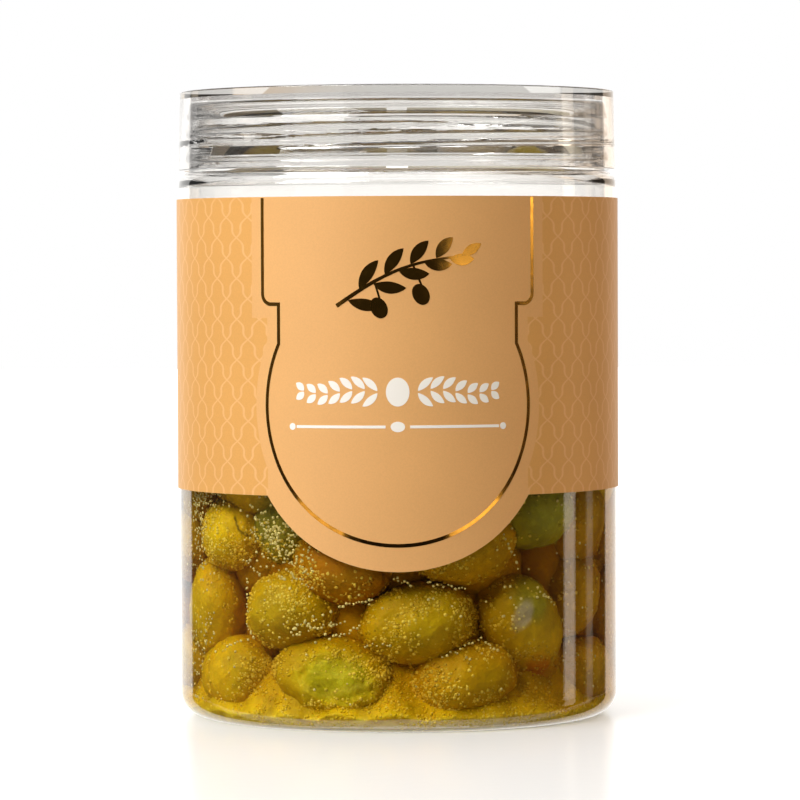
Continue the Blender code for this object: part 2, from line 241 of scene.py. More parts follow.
# %% Camera at the photographed angle
CAMERA_DISTANCE = 909 * MM
CAMERA_HEIGHT = 92 * MM
CAMERA_ASIDE = 0.55 * MM
CAMERA_DOWN = math.radians(1.76)
CAMERA_ROLL = math.radians(0.23)
CAMERA_LENS = 199.7
CAMERA_SENSOR = 36.0
camera_data = bpy.data.cameras.new("camera")
camera_data.lens = CAMERA_LENS
camera_data.sensor_width = CAMERA_SENSOR
camera_data.clip_end = 50.0
camera = bpy.data.objects.new("camera", camera_data)
camera.location = (CAMERA_ASIDE, -CAMERA_DISTANCE, CAMERA_HEIGHT)
camera.rotation_euler = (math.pi / 2 - CAMERA_DOWN, CAMERA_ROLL, 0)
bpy.context.scene.collection.objects.link(camera)
bpy.context.scene.camera = camera
bpy.context.scene.view_settings.view_transform = "Standard"
bpy.context.scene.cycles.transparent_max_bounces = 24
bpy.context.scene.cycles.max_bounces = 16
bpy.context.scene.cycles.transmission_bounces = 16
bpy.context.scene.cycles.glossy_bounces = 10
print("camera stands %.0f mm from the jar's middle" % (CAMERA_DISTANCE / MM))

# %% [markdown]
# Materials are small networks of nodes. Two helpers keep them short: one adds a node and fills or links its
# sockets, the other adds one step of arithmetic.

# %% Helpers for finishes


def new_finish(name):
    """An empty material and its tree of nodes."""
    finish = bpy.data.materials.new(name)
    finish.use_nodes = True
    finish.node_tree.nodes.clear()
    return finish, finish.node_tree


def add(tree, kind, sockets=None, **settings):
    """Adds a shader node. A socket given as another node's output is linked, and any other value is set."""
    made = tree.nodes.new("ShaderNode" + kind)
    for name, value in settings.items():
        setattr(made, name, value)
    for socket, value in (sockets or {}).items():
        if isinstance(value, bpy.types.NodeSocket):
            tree.links.new(value, made.inputs[socket])
        else:
            made.inputs[socket].default_value = value
    return made


def maths(tree, operation, first, second=0.0, third=0.0):
    """One step of arithmetic on numbers or sockets."""
    return add(tree, "Math", {0: first, 1: second, 2: third}, operation=operation).outputs[0]


def between(tree, value, low, high, out_low=0.0, out_high=1.0):
    """A smooth step: value from low to high becomes out_low to out_high."""
    sockets = {"Value": value, "From Min": low, "From Max": high, "To Min": out_low, "To Max": out_high}
    return add(tree, "MapRange", sockets, interpolation_type="SMOOTHSTEP").outputs[0]


def blend_colours(tree, share, first, second):
    """The first colour where share is 0 and the second where it is 1."""
    made = add(tree, "Mix", data_type="RGBA")
    for socket, value in ((0, share), (6, first), (7, second)):
        if isinstance(value, bpy.types.NodeSocket):
            tree.links.new(value, made.inputs[socket])
        elif socket == 0:
            made.inputs[0].default_value = value
        else:
            made.inputs[socket].default_value = (*value, 1.0)
    return made.outputs[2]


def noise(tree, place, size, detail=2.0, roughness=0.5):
    """Soft cloudy noise whose blobs are about size metres across."""
    sockets = {"Vector": place, "Scale": 0.5 / size, "Detail": detail, "Roughness": roughness}
    return add(tree, "TexNoise", sockets).outputs[0]


def relief(tree, height, depth, strength=1.0):
    """Tilts the surface as if height (0 to 1) stood out by depth."""
    sockets = {"Height": height, "Distance": depth, "Strength": strength}
    return add(tree, "Bump", sockets).outputs[0]


def finished(tree, surface, volume=None):
    """Links the shader, and what fills the piece, to the material's output."""
    out = add(tree, "OutputMaterial", {"Surface": surface})
    if volume is not None:
        tree.links.new(volume, out.inputs["Volume"])


print("finish helpers ready")

# %% [markdown]
# The room is a product studio: a white wall behind the jar, dim sides and darkness round the camera. It is
# painted into the world by direction, because clear plastic shows whatever stands round it, and bare lamps
# would leave it black between them. The camera itself sees plain white. Light that has only gone through
# plastic finds the sides brighter than a mirror does, which keeps the clear rims pale without a veil of
# reflections over the olives.

# %% The room, painted by direction
WALL_HALF_ANGLE = math.radians(38.5)
WALL_LIGHT = 1.3
SIDE_LIGHT = 0.14
FRONT_LIGHT = 0.025
CEILING_LIGHT = 0.45
BESIDE_LIGHT = 0.52
BELOW_SHARE, FAR_BESIDE_SHARE = 0.2, 0.4
FRONT_START, FRONT_FULL = math.radians(95), math.radians(140)
BESIDE_END = math.radians(150)
WALL_EDGE = 0.01
ROOM_WHITE, ROOM_WARM = (1.0, 0.985, 0.96), (1.0, 0.78, 0.58)


def build_room():
    """The level of light is a step of the angle from straight behind the jar, dimmed towards the camera and
    below the table's height, plus a soft ceiling."""
    world = bpy.data.worlds.new("room")
    bpy.context.scene.world = world
    world.use_nodes = True
    tree = world.node_tree
    tree.nodes.clear()
    way = add(tree, "TexCoord").outputs["Generated"]
    parts = add(tree, "SeparateXYZ", {0: way})
    x, y, z = parts.outputs
    azimuth = maths(tree, "ABSOLUTE", maths(tree, "ARCTAN2", x, y))
    side = between(tree, z, -0.05, 0.0, SIDE_LIGHT * BELOW_SHARE, SIDE_LIGHT)
    wall = between(tree, azimuth, WALL_HALF_ANGLE - WALL_EDGE, WALL_HALF_ANGLE + WALL_EDGE, WALL_LIGHT, side)
    front = between(tree, azimuth, FRONT_START, FRONT_FULL, 1.0, FRONT_LIGHT / SIDE_LIGHT)
    level = maths(tree, "MULTIPLY", wall, front)
    above = between(tree, z, 0.6, 0.9)
    level = maths(tree, "ADD", level, maths(tree, "MULTIPLY", above, CEILING_LIGHT))
    path = add(tree, "LightPath").outputs
    seen = path["Is Camera Ray"]
    through = maths(tree, "GREATER_THAN", path["Transmission Depth"], 0.5)
    through = maths(tree, "MULTIPLY", through, maths(tree, "LESS_THAN", path["Diffuse Depth"], 0.5))
    off_one = maths(tree, "ABSOLUTE", maths(tree, "SUBTRACT", path["Glossy Depth"], 1.0))
    through = maths(tree, "MULTIPLY", through, maths(tree, "GREATER_THAN", off_one, 0.5))
    far_beside = BESIDE_LIGHT * FAR_BESIDE_SHARE
    beside = between(tree, azimuth, WALL_HALF_ANGLE, BESIDE_END, BESIDE_LIGHT, far_beside)
    clear = maths(tree, "MAXIMUM", level, beside)
    level = maths(tree, "ADD", maths(tree, "MULTIPLY", through, clear),
                  maths(tree, "MULTIPLY", maths(tree, "SUBTRACT", 1.0, through), level))
    colour = blend_colours(tree, between(tree, x, 0.0, 0.7), ROOM_WHITE, ROOM_WARM)
    room = add(tree, "Background", {"Color": colour, "Strength": level})
    plain = add(tree, "Background", {"Color": (1.0, 1.0, 1.0, 1.0), "Strength": 1.0})
    both = add(tree, "MixShader", {0: seen, 1: room.outputs[0], 2: plain.outputs[0]})
    add(tree, "OutputWorld", {"Surface": both.outputs[0]})


build_room()
print("white wall: %.0f degrees wide" % (2 * math.degrees(WALL_HALF_ANGLE)))

# %% [markdown]
# A big soft key lamp at the upper left lights the label, and two boxes brighten the front. Two strips far to
# the right draw the bright lines down the jar's right side. They show only in mirrors, while a warm and a cool
# fill beside the jar light only matt surfaces, as gels on a studio lamp would.

# %% Lamps
LAMP_AIM_Z = 60 * MM
PLAIN_LIGHT, STRIP_LIGHT = (1.0, 1.0, 1.0), (1.0, 0.86, 0.68)
WARM_GEL, COOL_GEL = (1.0, 0.50, 0.30), (0.6, 0.85, 1.0)


def softbox(name, azimuth, height_angle, distance, size, glow, colour=PLAIN_LIGHT):
    """A flat lamp that faces the jar. azimuth turns from the camera's side (0) to the right (+90). Its power is
    its glow times pi times its area, so lamps of any size and the same glow look equally bright."""
    aim = np.array([0, 0, LAMP_AIM_Z])
    turn, rise = math.radians(azimuth), math.radians(height_angle)
    way = np.array([math.sin(turn) * math.cos(rise), -math.cos(turn) * math.cos(rise), math.sin(rise)])
    lamp = bpy.data.lights.new(name, "AREA")
    lamp.shape = "RECTANGLE"
    lamp.size, lamp.size_y = size
    lamp.energy = glow * math.pi * lamp.size * lamp.size_y
    lamp.color = colour
    box = bpy.data.objects.new(name, lamp)
    box.location = aim + way * distance
    box.rotation_euler = (math.pi / 2 - rise, 0, turn)
    box.visible_camera = False
    bpy.context.scene.collection.objects.link(box)
    return box


softbox("key_lamp", -50, 42, 1.7, (1.2, 0.9), 9.5, (1.0, 1.0, 0.98))
softbox("left_box", -41, 13, 1.6, (0.75, 0.66), 0.34)
softbox("right_box", 37, 13, 1.6, (0.95, 0.66), 0.10)
for strip in (softbox("strip_near", 101, 6, 1.5, (0.24, 1.3), 1.5, STRIP_LIGHT),
              softbox("strip_far", 119.5, 6, 1.5, (0.18, 1.3), 0.4, STRIP_LIGHT)):
    strip.visible_diffuse = False
for fill in (softbox("warm_fill", 100, 6, 1.5, (0.5, 1.3), 1.0, WARM_GEL),
             softbox("cool_fill", -100, 6, 1.5, (0.5, 1.3), 1.6, COOL_GEL)):
    fill.visible_glossy = fill.visible_transmission = False
softbox("top_box", 0, 88, 1.6, (1.6, 1.6), 2.2)

# %% [markdown]
# The jar stands on a pale glossy table. A plain diffuse surface with a weak gloss gives the faint soft
# reflection under the jar, and a little glow makes the rest of the table melt into white. A photographer keeps
# the table small, so that no pale sheet of it mirrors in the clear wall. The same is done here: mirror rays
# pass the table and find the room behind it, and matt surfaces get only part of its light.

# %% The table
FLOOR_SIZE = 6.0
TABLE_WHITE = (0.73, 0.73, 0.725, 1.0)
TABLE_BOUNCE = (0.42, 0.37, 0.30, 1.0)


def build_floor():
    """A flat square whose shader depends on the ray: glossy white to the camera, dimmer to matt surfaces, and
    open to mirrors."""
    half = FLOOR_SIZE / 2
    corners = np.array([(-half, -half, 0), (half, -half, 0), (half, half, 0), (-half, half, 0)])
    floor = piece_from_faces("floor", corners, np.array([[0, 1, 2, 3]]))
    finish, tree = new_finish("pale_table")
    place = add(tree, "TexCoord").outputs["Object"]
    sockets = {"Base Color": TABLE_WHITE, "Roughness": 0.22, "Specular IOR Level": 0.4}
    skin = add(tree, "BsdfPrincipled", sockets)
    tree.links.new(relief(tree, noise(tree, place, 2 * MM), 0.02 * MM), skin.inputs["Normal"])
    far = add(tree, "VectorMath", {0: place}, operation="LENGTH").outputs["Value"]
    level = between(tree, far, 0.5, 1.6, 0.12, 1.0)
    glow = add(tree, "Emission", {"Color": (1.0, 1.0, 1.0, 1.0), "Strength": level})
    seen = add(tree, "AddShader", {0: skin.outputs[0], 1: glow.outputs[0]})
    path = add(tree, "LightPath").outputs
    dim = add(tree, "BsdfDiffuse", {"Color": TABLE_BOUNCE})
    passed = add(tree, "BsdfTransparent")
    matt = maths(tree, "GREATER_THAN", path["Diffuse Depth"], 0.5)
    mirror = maths(tree, "GREATER_THAN", path["Glossy Depth"], 0.5)
    lit = add(tree, "MixShader", {0: matt, 1: seen.outputs[0], 2: dim.outputs[0]})
    both = add(tree, "MixShader", {0: mirror, 1: lit.outputs[0], 2: passed.outputs[0]})
    finished(tree, both.outputs[0])
    floor.data.materials.append(finish)
    return floor


build_floor()
print("floor %.0f m wide" % FLOOR_SIZE)

# %% [markdown]
# Clear plastic bends light, and a lamp's shadow ray can't find its way through a bending surface. So the
# plastic is plain transparent for shadow rays and for the soft light between matt surfaces, and it bends only
# what the camera and the mirror-like rays see. The contents are then lit cleanly, without specks.

# %% Letting lamps through


def let_lamps_through(tree, surface, tint):
    """Plain tinted transparency for shadow rays and matt bounces, the given surface for all other rays."""
    path = add(tree, "LightPath").outputs
    lamps = maths(tree, "MAXIMUM", path["Is Shadow Ray"], path["Is Diffuse Ray"])
    clear = add(tree, "BsdfTransparent", {"Color": (*tint, 1.0)})
    return add(tree, "MixShader", {0: lamps, 1: surface, 2: clear.outputs[0]}).outputs[0]


print("lamps shine through clear pieces")

# %% [markdown]
# The jar and the lid are clear PET, which bends light a little more than glass does. The mould leaves long soft
# ripples in it. The plastic is faintly smoky, which shows only where one looks along the wall.

# %% Clear plastic
PLASTIC_BEND = 1.57
PLASTIC_SHADOW = (0.96, 0.96, 0.955)
SMOKE_COLOUR = (0.06, 0.05, 0.0, 1.0)
JAR_TINT, JAR_RIPPLE, JAR_SMOKE = (0.965, 0.96, 0.95), 0.005 * MM, 6.0
LID_TINT, LID_RIPPLE, LID_SMOKE = (0.89, 0.885, 0.88), 0.003 * MM, 7.0
RIPPLE_LENGTH = 7 * MM


def clear_plastic(name, tint, ripple_depth, smoke):
    """Clear plastic: a smooth surface of its own bend, with long soft ripples. smoke is how much light a metre
    of it takes."""
    finish, tree = new_finish(name)
    place = add(tree, "TexCoord").outputs["Object"]
    ripples = noise(tree, place, RIPPLE_LENGTH, 1.0)
    sockets = {"Base Color": (*tint, 1.0), "Roughness": 0.0, "IOR": PLASTIC_BEND, "Transmission Weight": 1.0}
    sockets["Normal"] = relief(tree, ripples, ripple_depth)
    skin = add(tree, "BsdfPrincipled", sockets)
    depth = add(tree, "VolumeAbsorption", {"Color": SMOKE_COLOUR, "Density": smoke})
    finished(tree, let_lamps_through(tree, skin.outputs[0], PLASTIC_SHADOW), depth.outputs[0])
    return finish


clear_jar = clear_plastic("clear_jar", JAR_TINT, JAR_RIPPLE, JAR_SMOKE)
clear_lid = clear_plastic("clear_lid", LID_TINT, LID_RIPPLE, LID_SMOKE)
print("clear finishes:", clear_jar.name, clear_lid.name)

# %% [markdown]
# Brine is water, salt and what the olives gave it. It bends light as water does and takes the blue out of it
# with depth, so a thin layer looks clear and the whole jar deep yellow.

# %% Brine
BRINE_BEND = 1.36
BRINE_COLOUR = (0.82, 0.64, 0.03, 1.0)
BRINE_STRENGTH = 95.0
BRINE_SHADOW = (0.99, 0.99, 0.98)


def brine_finish():
    """A clear liquid that takes blue out of the light with depth, so that it deepens to yellow."""
    finish, tree = new_finish("brine")
    sockets = {"Base Color": (1.0, 1.0, 1.0, 1.0), "Roughness": 0.0, "IOR": BRINE_BEND}
    sockets["Transmission Weight"] = 1.0
    skin = add(tree, "BsdfPrincipled", sockets)
    colour = add(tree, "VolumeAbsorption", {"Color": BRINE_COLOUR, "Density": BRINE_STRENGTH})
    finished(tree, let_lamps_through(tree, skin.outputs[0], BRINE_SHADOW), colour.outputs[0])
    return finish


brine = brine_finish()
print("brine finish:", brine.name)

# %% [markdown]
# Neck and lid hold each other with two screw ridges each. A ridge could be a tube joined to the wall, but here
# it is a swell of the wall's own radius: where a ridge passes, the radius follows its round section. That keeps
# the plastic one clean surface, which matters because light bends at each. Right-hand ridges run down towards
# smaller angles.

# %% Screw ridges as a swell of the wall
FLANK_TOP_Z = 115.3 * MM
FLANK_FOOT_Z = 113.6 * MM
FLANK_FOOT_RADIUS = 43.2 * MM
SEAL_BEAD_TOP_Z = 123.5 * MM
SEAL_BEAD_Z = 121.2 * MM
SEAL_BEAD_RISE = 0.72 * MM
THREAD_STARTS = 2
THREAD_LEAD = 4.5 * MM
THREAD_FADE = 34.0
NECK_THREAD = {"tube": 0.80 * MM, "middle": NECK_RADIUS - 0.15 * MM, "top_z": 119.4 * MM, "top_angle": 14.0,
               "sweep": 235.0}
LID_THREAD = {"tube": 0.55 * MM, "middle": 43.50 * MM, "top_z": 116.6625 * MM, "top_angle": -61.0,
              "sweep": 150.0}


def ridge_radius(angle, height, ridge, outwards):
    """Radius that the ridges reach at an angle and height. A ridge's middle falls by the lead each turn, its
    section is a circle of the tube's radius, and that radius fades as a sine over its first and last degrees.
    Beside a ridge the answer is far inside the wall, or far outside it for a ridge that points inwards."""
    sign = 1.0 if outwards else -1.0
    reach = np.full(np.broadcast(angle, height).shape, -sign)
    for start in range(THREAD_STARTS):
        top = ridge["top_angle"] + 360.0 * start / THREAD_STARTS
        along = (top - np.degrees(angle)) % 360.0
        middle = ridge["top_z"] - THREAD_LEAD * along / 360.0
        fade = np.clip(np.minimum(along, ridge["sweep"] - along) / THREAD_FADE, 0, 1)
        tube = ridge["tube"] * (0.35 + 0.65 * np.sin(fade * np.pi / 2))
        inside = (np.abs(height - middle) < tube) & (along < ridge["sweep"])
        bulge = np.sqrt(np.maximum(tube**2 - (height - middle) ** 2, 0))
        here = ridge["middle"] + sign * bulge
        better = np.maximum(reach, here) if outwards else np.minimum(reach, here)
        reach = np.where(inside, better, reach)
    return reach


def neck_swell(angle, radius, height):
    """How far the ridges stand out from the neck's straight part."""
    on_neck = (height > FLANK_TOP_Z) & (height < SEAL_BEAD_Z - 0.3 * MM) & (radius > NECK_RADIUS - 1e-6)
    reach = ridge_radius(angle, height, NECK_THREAD, True)
    return np.where(on_neck, np.maximum(reach - radius, 0), 0)


print("ridge falls %.1f mm in one turn" % (THREAD_LEAD / MM))

# %% [markdown]
# The jar is a blown plastic bottle with a wide neck. It is one turned profile that runs from the middle of its
# inner floor, up the inside, over the lip, down the outside and back to the middle underneath. The bead that
# seals against the lid is hollowed above, and the neck ends in a short slanted flank, which together draw the
# light and dark bands that one sees through the lid.

# %% The jar
RING_OUTER = FOOT_RADIUS - HEEL_RADIUS
RING_INNER = RING_OUTER - STANDING_RING_WIDTH
BEND_R, BEND_Z = 0.72 * RING_INNER, 0.85 * PUSH_UP
NECK_STEP = 0.16 * MM


def jar_profile():
    """Inner floor, inner wall, lip, neck with its bead, shoulder, wall, heel, standing ring, push-up."""
    inner = BODY_RADIUS - BODY_WALL
    inner_foot = FOOT_RADIUS - BODY_WALL
    inner_heel = HEEL_RADIUS - BODY_WALL
    neck_inner = NECK_RADIUS - NECK_WALL
    lip = NECK_WALL / 2
    shoulder_r, shoulder_z = BODY_RADIUS - SHOULDER_RADIUS, SHOULDER_Z - SHOULDER_RADIUS
    top = BASE_THICKNESS + PUSH_UP
    points = [(0.0, top), (BEND_R / 2, top - 0.15 * (top - BASE_THICKNESS - BEND_Z))]
    points += [(BEND_R, BASE_THICKNESS + BEND_Z), (RING_INNER, BASE_THICKNESS)]
    points += arc(inner_foot - inner_heel, BASE_THICKNESS + inner_heel, inner_heel, -90, 0, 12)
    points += arc(inner - SHOULDER_RADIUS, shoulder_z - BODY_WALL, SHOULDER_RADIUS, 0, 60, 8)
    points += [(neck_inner, SHOULDER_Z + NECK_WALL)]
    points += arc(neck_inner + lip, NECK_TOP_Z - lip, lip, 180, 0, 14)
    seal_fall = SEAL_BEAD_Z - SEAL_BEAD_TOP_Z
    points += [(NECK_RADIUS + SEAL_BEAD_RISE * share**2, SEAL_BEAD_TOP_Z + seal_fall * share)
               for share in np.linspace(0, 1, 12)]
    under_bead = SEAL_BEAD_Z - 0.35 * MM
    rows = int((under_bead - FLANK_TOP_Z) / NECK_STEP)
    points += line((NECK_RADIUS, under_bead), (NECK_RADIUS, FLANK_TOP_Z), rows)
    points += [(FLANK_FOOT_RADIUS, FLANK_FOOT_Z)]
    points += arc(FLANK_FOOT_RADIUS - BEAD_RADIUS, BEAD_Z, BEAD_RADIUS, 30, -80, 8)
    points += [(NECK_RADIUS, SHOULDER_Z + 0.3 * MM)]
    points += arc(shoulder_r, shoulder_z, SHOULDER_RADIUS, 80, 0, 10)
    points += arc(RING_OUTER, HEEL_RADIUS, HEEL_RADIUS, 0, -90, 14)
    points += [(RING_INNER, 0.0), (BEND_R, BEND_Z), (BEND_R / 2, PUSH_UP - 0.15 * (PUSH_UP - BEND_Z))]
    points += [(0.0, PUSH_UP)]
    return points


crease(dress(turned("clear_jar_body", jar_profile(), neck_swell), clear_jar, "jar", "jar"), 20)

# %% [markdown]
# The lid is one moulded clear cap with a flat top, a rounded edge, a slightly tapered skirt and a thin seal
# ring inside, which presses on the jar's lip. Its two inner ridges lie under the jar's ridges.

# %% The lid
LID_TOP_Z = LID_HIGH.z
LID_BOTTOM_Z = LID_LOW.z
LID_FOOT_RADIUS = 44.65 * MM
LID_TOP_RADIUS = 44.30 * MM
LID_WALL = 1.15 * MM
LID_INNER_TOP_RADIUS = 43.40 * MM
LID_PLATE = 1.55 * MM
LID_EDGE_ROUND = 0.30 * MM
LID_RECESS_RADIUS = 40.5 * MM
LID_RECESS_DEPTH = 0.30 * MM
SEAL_RING_RADIUS = 41.6 * MM
SEAL_RING_HALF = 0.4 * MM
SEAL_GAP = 0.3 * MM


def lid_profile():
    """Top with its shallow recess, rounded edge, skirt, inner skirt, seal ring, underside."""
    under = LID_TOP_Z - LID_PLATE
    seal = NECK_TOP_Z + SEAL_GAP
    floor = LID_TOP_Z - LID_RECESS_DEPTH
    inner_foot = LID_FOOT_RADIUS - LID_WALL
    points = [(0.0, floor), (LID_RECESS_RADIUS / 2, floor), (LID_RECESS_RADIUS, floor)]
    points += [(LID_RECESS_RADIUS + LID_RECESS_DEPTH, LID_TOP_Z)]
    points += arc(LID_TOP_RADIUS - LID_EDGE_ROUND, LID_TOP_Z - LID_EDGE_ROUND, LID_EDGE_ROUND, 90, 0, 8)
    points += [(LID_FOOT_RADIUS, LID_BOTTOM_Z + 0.2 * MM)]
    points += [(LID_FOOT_RADIUS - 0.2 * MM, LID_BOTTOM_Z)]
    rows = int((under - LID_BOTTOM_Z) / NECK_STEP)
    points += line((inner_foot, LID_BOTTOM_Z), (LID_INNER_TOP_RADIUS, under), rows)
    points += [(SEAL_RING_RADIUS + SEAL_RING_HALF, under), (SEAL_RING_RADIUS + SEAL_RING_HALF, seal)]
    points += [(SEAL_RING_RADIUS - SEAL_RING_HALF, seal), (SEAL_RING_RADIUS - SEAL_RING_HALF, under)]
    points += [(SEAL_RING_RADIUS / 2, under), (0.0, under)]
    return points


def lid_swell(angle, radius, height):
    """How far the ridges stand in from the skirt's inner side, as a negative number."""
    inner = (radius < LID_FOOT_RADIUS - LID_WALL + 1e-6) & (radius > LID_INNER_TOP_RADIUS - 1e-6)
    inner &= (height > LID_BOTTOM_Z + 0.3 * MM) & (height < LID_TOP_Z - LID_PLATE - 0.3 * MM)
    reach = ridge_radius(angle, height, LID_THREAD, False)
    return np.where(inner & (reach > 0), np.minimum(reach - radius, 0), 0)


crease(dress(turned("clear_lid_cap", lid_profile(), lid_swell), clear_lid, "lid", "lid"))

# %% [markdown]
# The label is one printed film wrapped round the jar, with a small gap at the back where its ends face each
# other and a round tab at the front. It is a sheet on a cylinder, so every place on it is given by two
# numbers: the distance along the film from the middle of the front, and the height.

# %% The label's sheet
LABEL_INNER = 44.93 * MM
LABEL_OUTER = LABEL_INNER + 0.15 * MM
LABEL_TOP_Z = LABEL_HIGH.z
LABEL_BAND_Z = 46.5 * MM
LABEL_TAB_Z = LABEL_LOW.z
TAB_HALF_WIDTH = 27.3 * MM
LABEL_END_GAP = 6.0


def on_film(across, height, radius=LABEL_OUTER):
    """Point on the film: the distance across divided by the radius is the angle round the jar."""
    angle = across / LABEL_OUTER
    return np.stack([radius * np.sin(angle), -radius * np.cos(angle), height + 0 * angle], -1)


def film_lower_edge(across):
    """Height of the lower edge: level, and at the front an arc of a circle through the tab's two corners."""
    depth = LABEL_BAND_Z - LABEL_TAB_Z
    radius = (TAB_HALF_WIDTH**2 + depth**2) / (2 * depth)
    tab = LABEL_TAB_Z + radius - np.sqrt(np.maximum(radius**2 - across**2, 0))
    return np.where(np.abs(across) < TAB_HALF_WIDTH, tab, LABEL_BAND_Z)


def sheet_faces(rows, columns):
    """Faces of a closed thin sheet: an outer grid, an inner grid turned round, and strips along the rim."""
    outer = grid_faces(rows, columns, False)
    inner = outer[:, ::-1] + rows * columns
    index = np.arange(rows * columns).reshape(rows, columns)
    rim = np.concatenate([index[0, :-1], index[:-1, -1], index[-1, :0:-1], index[:0:-1, 0]])
    after = np.roll(rim, -1)
    shift = rows * columns
    strips = np.stack([after, rim, rim + shift, after + shift], -1)
    return np.concatenate([outer, inner, strips])


def build_film():
    """Outer and inner grids of the film. Columns lie closer together towards the tab's corners, and rows share
    the height between the lower edge and the top."""
    half = math.radians(180 - LABEL_END_GAP / 2) * LABEL_OUTER
    side = np.linspace(TAB_HALF_WIDTH, half, 150)[1:]
    tab = TAB_HALF_WIDTH * np.sin(np.linspace(-np.pi / 2, np.pi / 2, 97))
    across = np.concatenate([-side[::-1], tab, side])
    share = np.linspace(0, 1, 25)[:, None]
    height = film_lower_edge(across)[None, :] * (1 - share) + LABEL_TOP_Z * share
    wide = np.broadcast_to(across, height.shape)
    outer = on_film(wide, height).reshape(-1, 3)
    inner = on_film(wide, height, LABEL_INNER).reshape(-1, 3)
    return piece_from_faces("label_film", np.concatenate([outer, inner]), sheet_faces(*height.shape))


film = crease(build_film())
print("film %.0f mm long, %.1f mm high" % (2 * math.pi * LABEL_OUTER / MM, (LABEL_TOP_Z - LABEL_BAND_Z) / MM))

# %% [markdown]
# A lattice of slightly deeper gold cells is printed on the copper film. It is worked out in the finish, from
# the distance along the film and the height: two families of wavy lines that cross at nodes, set in staggered
# columns. It stays clear of the foil line that frames the front.

# %% The lattice of cells
LATTICE_COLUMN = 3.04 * MM
LATTICE_ROW = 8.05 * MM
LATTICE_START = 32.2 * MM
LATTICE_NODE_Z = 77.13 * MM
LATTICE_LINE = 0.085
WAVE_LEAD, WAVE_LIFT = 0.166, 0.057
FRAME_HALF = 28.3 * MM
FRAME_STEP_HALF = 24.5 * MM
FRAME_STEP_Z = 84.15 * MM
FRAME_CIRCLE_Z = 64.3 * MM
FRAME_CIRCLE_RADIUS = 27.3 * MM
FRAME_MARGIN = 2.7 * MM


def lattice_cells(tree, across, height):
    """1 inside a lattice cell, 0 on a line and round the frame. In units of columns and half rows, the lines of
    one family are u - S(t) = an even number and those of the other u + S(t), where S(t) is t plus a wave that
    makes each line leave a node quickly, run nearly upright, and close in on the next one."""
    u = maths(tree, "DIVIDE", maths(tree, "SUBTRACT", across, LATTICE_START), LATTICE_COLUMN)
    t = maths(tree, "DIVIDE", maths(tree, "SUBTRACT", LATTICE_NODE_Z, height), LATTICE_ROW / 2)
    turn = maths(tree, "MULTIPLY", t, 2 * math.pi)
    lead = maths(tree, "MULTIPLY", maths(tree, "SINE", turn), WAVE_LEAD)
    lift = maths(tree, "MULTIPLY_ADD", maths(tree, "COSINE", turn), -WAVE_LIFT, WAVE_LIFT)
    path = maths(tree, "ADD", t, maths(tree, "ADD", lead, lift))
    away = [maths(tree, "PINGPONG", maths(tree, way, u, path), 1.0) for way in ("SUBTRACT", "ADD")]
    nearest = maths(tree, "MINIMUM", *away)
    cell = between(tree, nearest, LATTICE_LINE * 0.7, LATTICE_LINE * 1.5)
    upper = maths(tree, "GREATER_THAN", height, FRAME_STEP_Z - FRAME_MARGIN)
    beside_frame = maths(tree, "GREATER_THAN", across, FRAME_HALF + FRAME_MARGIN)
    beside_step = maths(tree, "GREATER_THAN", across, FRAME_STEP_HALF + FRAME_MARGIN)
    rise = maths(tree, "SUBTRACT", height, FRAME_CIRCLE_Z)
    squares = maths(tree, "ADD", maths(tree, "MULTIPLY", rise, rise), maths(tree, "MULTIPLY", across, across))
    beside_circle = maths(tree, "GREATER_THAN", squares, (FRAME_CIRCLE_RADIUS + FRAME_MARGIN) ** 2)
    lower = maths(tree, "MULTIPLY", beside_step, beside_circle)
    share = maths(tree, "ADD", maths(tree, "MULTIPLY", upper, beside_frame),
                  maths(tree, "MULTIPLY", maths(tree, "SUBTRACT", 1.0, upper), lower))
    return maths(tree, "MULTIPLY", cell, share), share


print("lattice cell %.1f x %.1f mm" % (2 * LATTICE_COLUMN / MM, LATTICE_ROW / MM))

# %% [markdown]
# The film is satin with a little metal in its ink, so it is a mostly matt surface with a broad soft shine. A
# very fine grain and slow clouds of shade keep it from looking like flat paint. Its inner side is plain cream.

# %% The label's finish
PAPER_FRONT, PAPER_SIDES, LATTICE_INK = (0.85, 0.46, 0.17), (0.88, 0.49, 0.19), (0.80, 0.405, 0.11)
PAPER_INSIDE = (0.80, 0.74, 0.62)


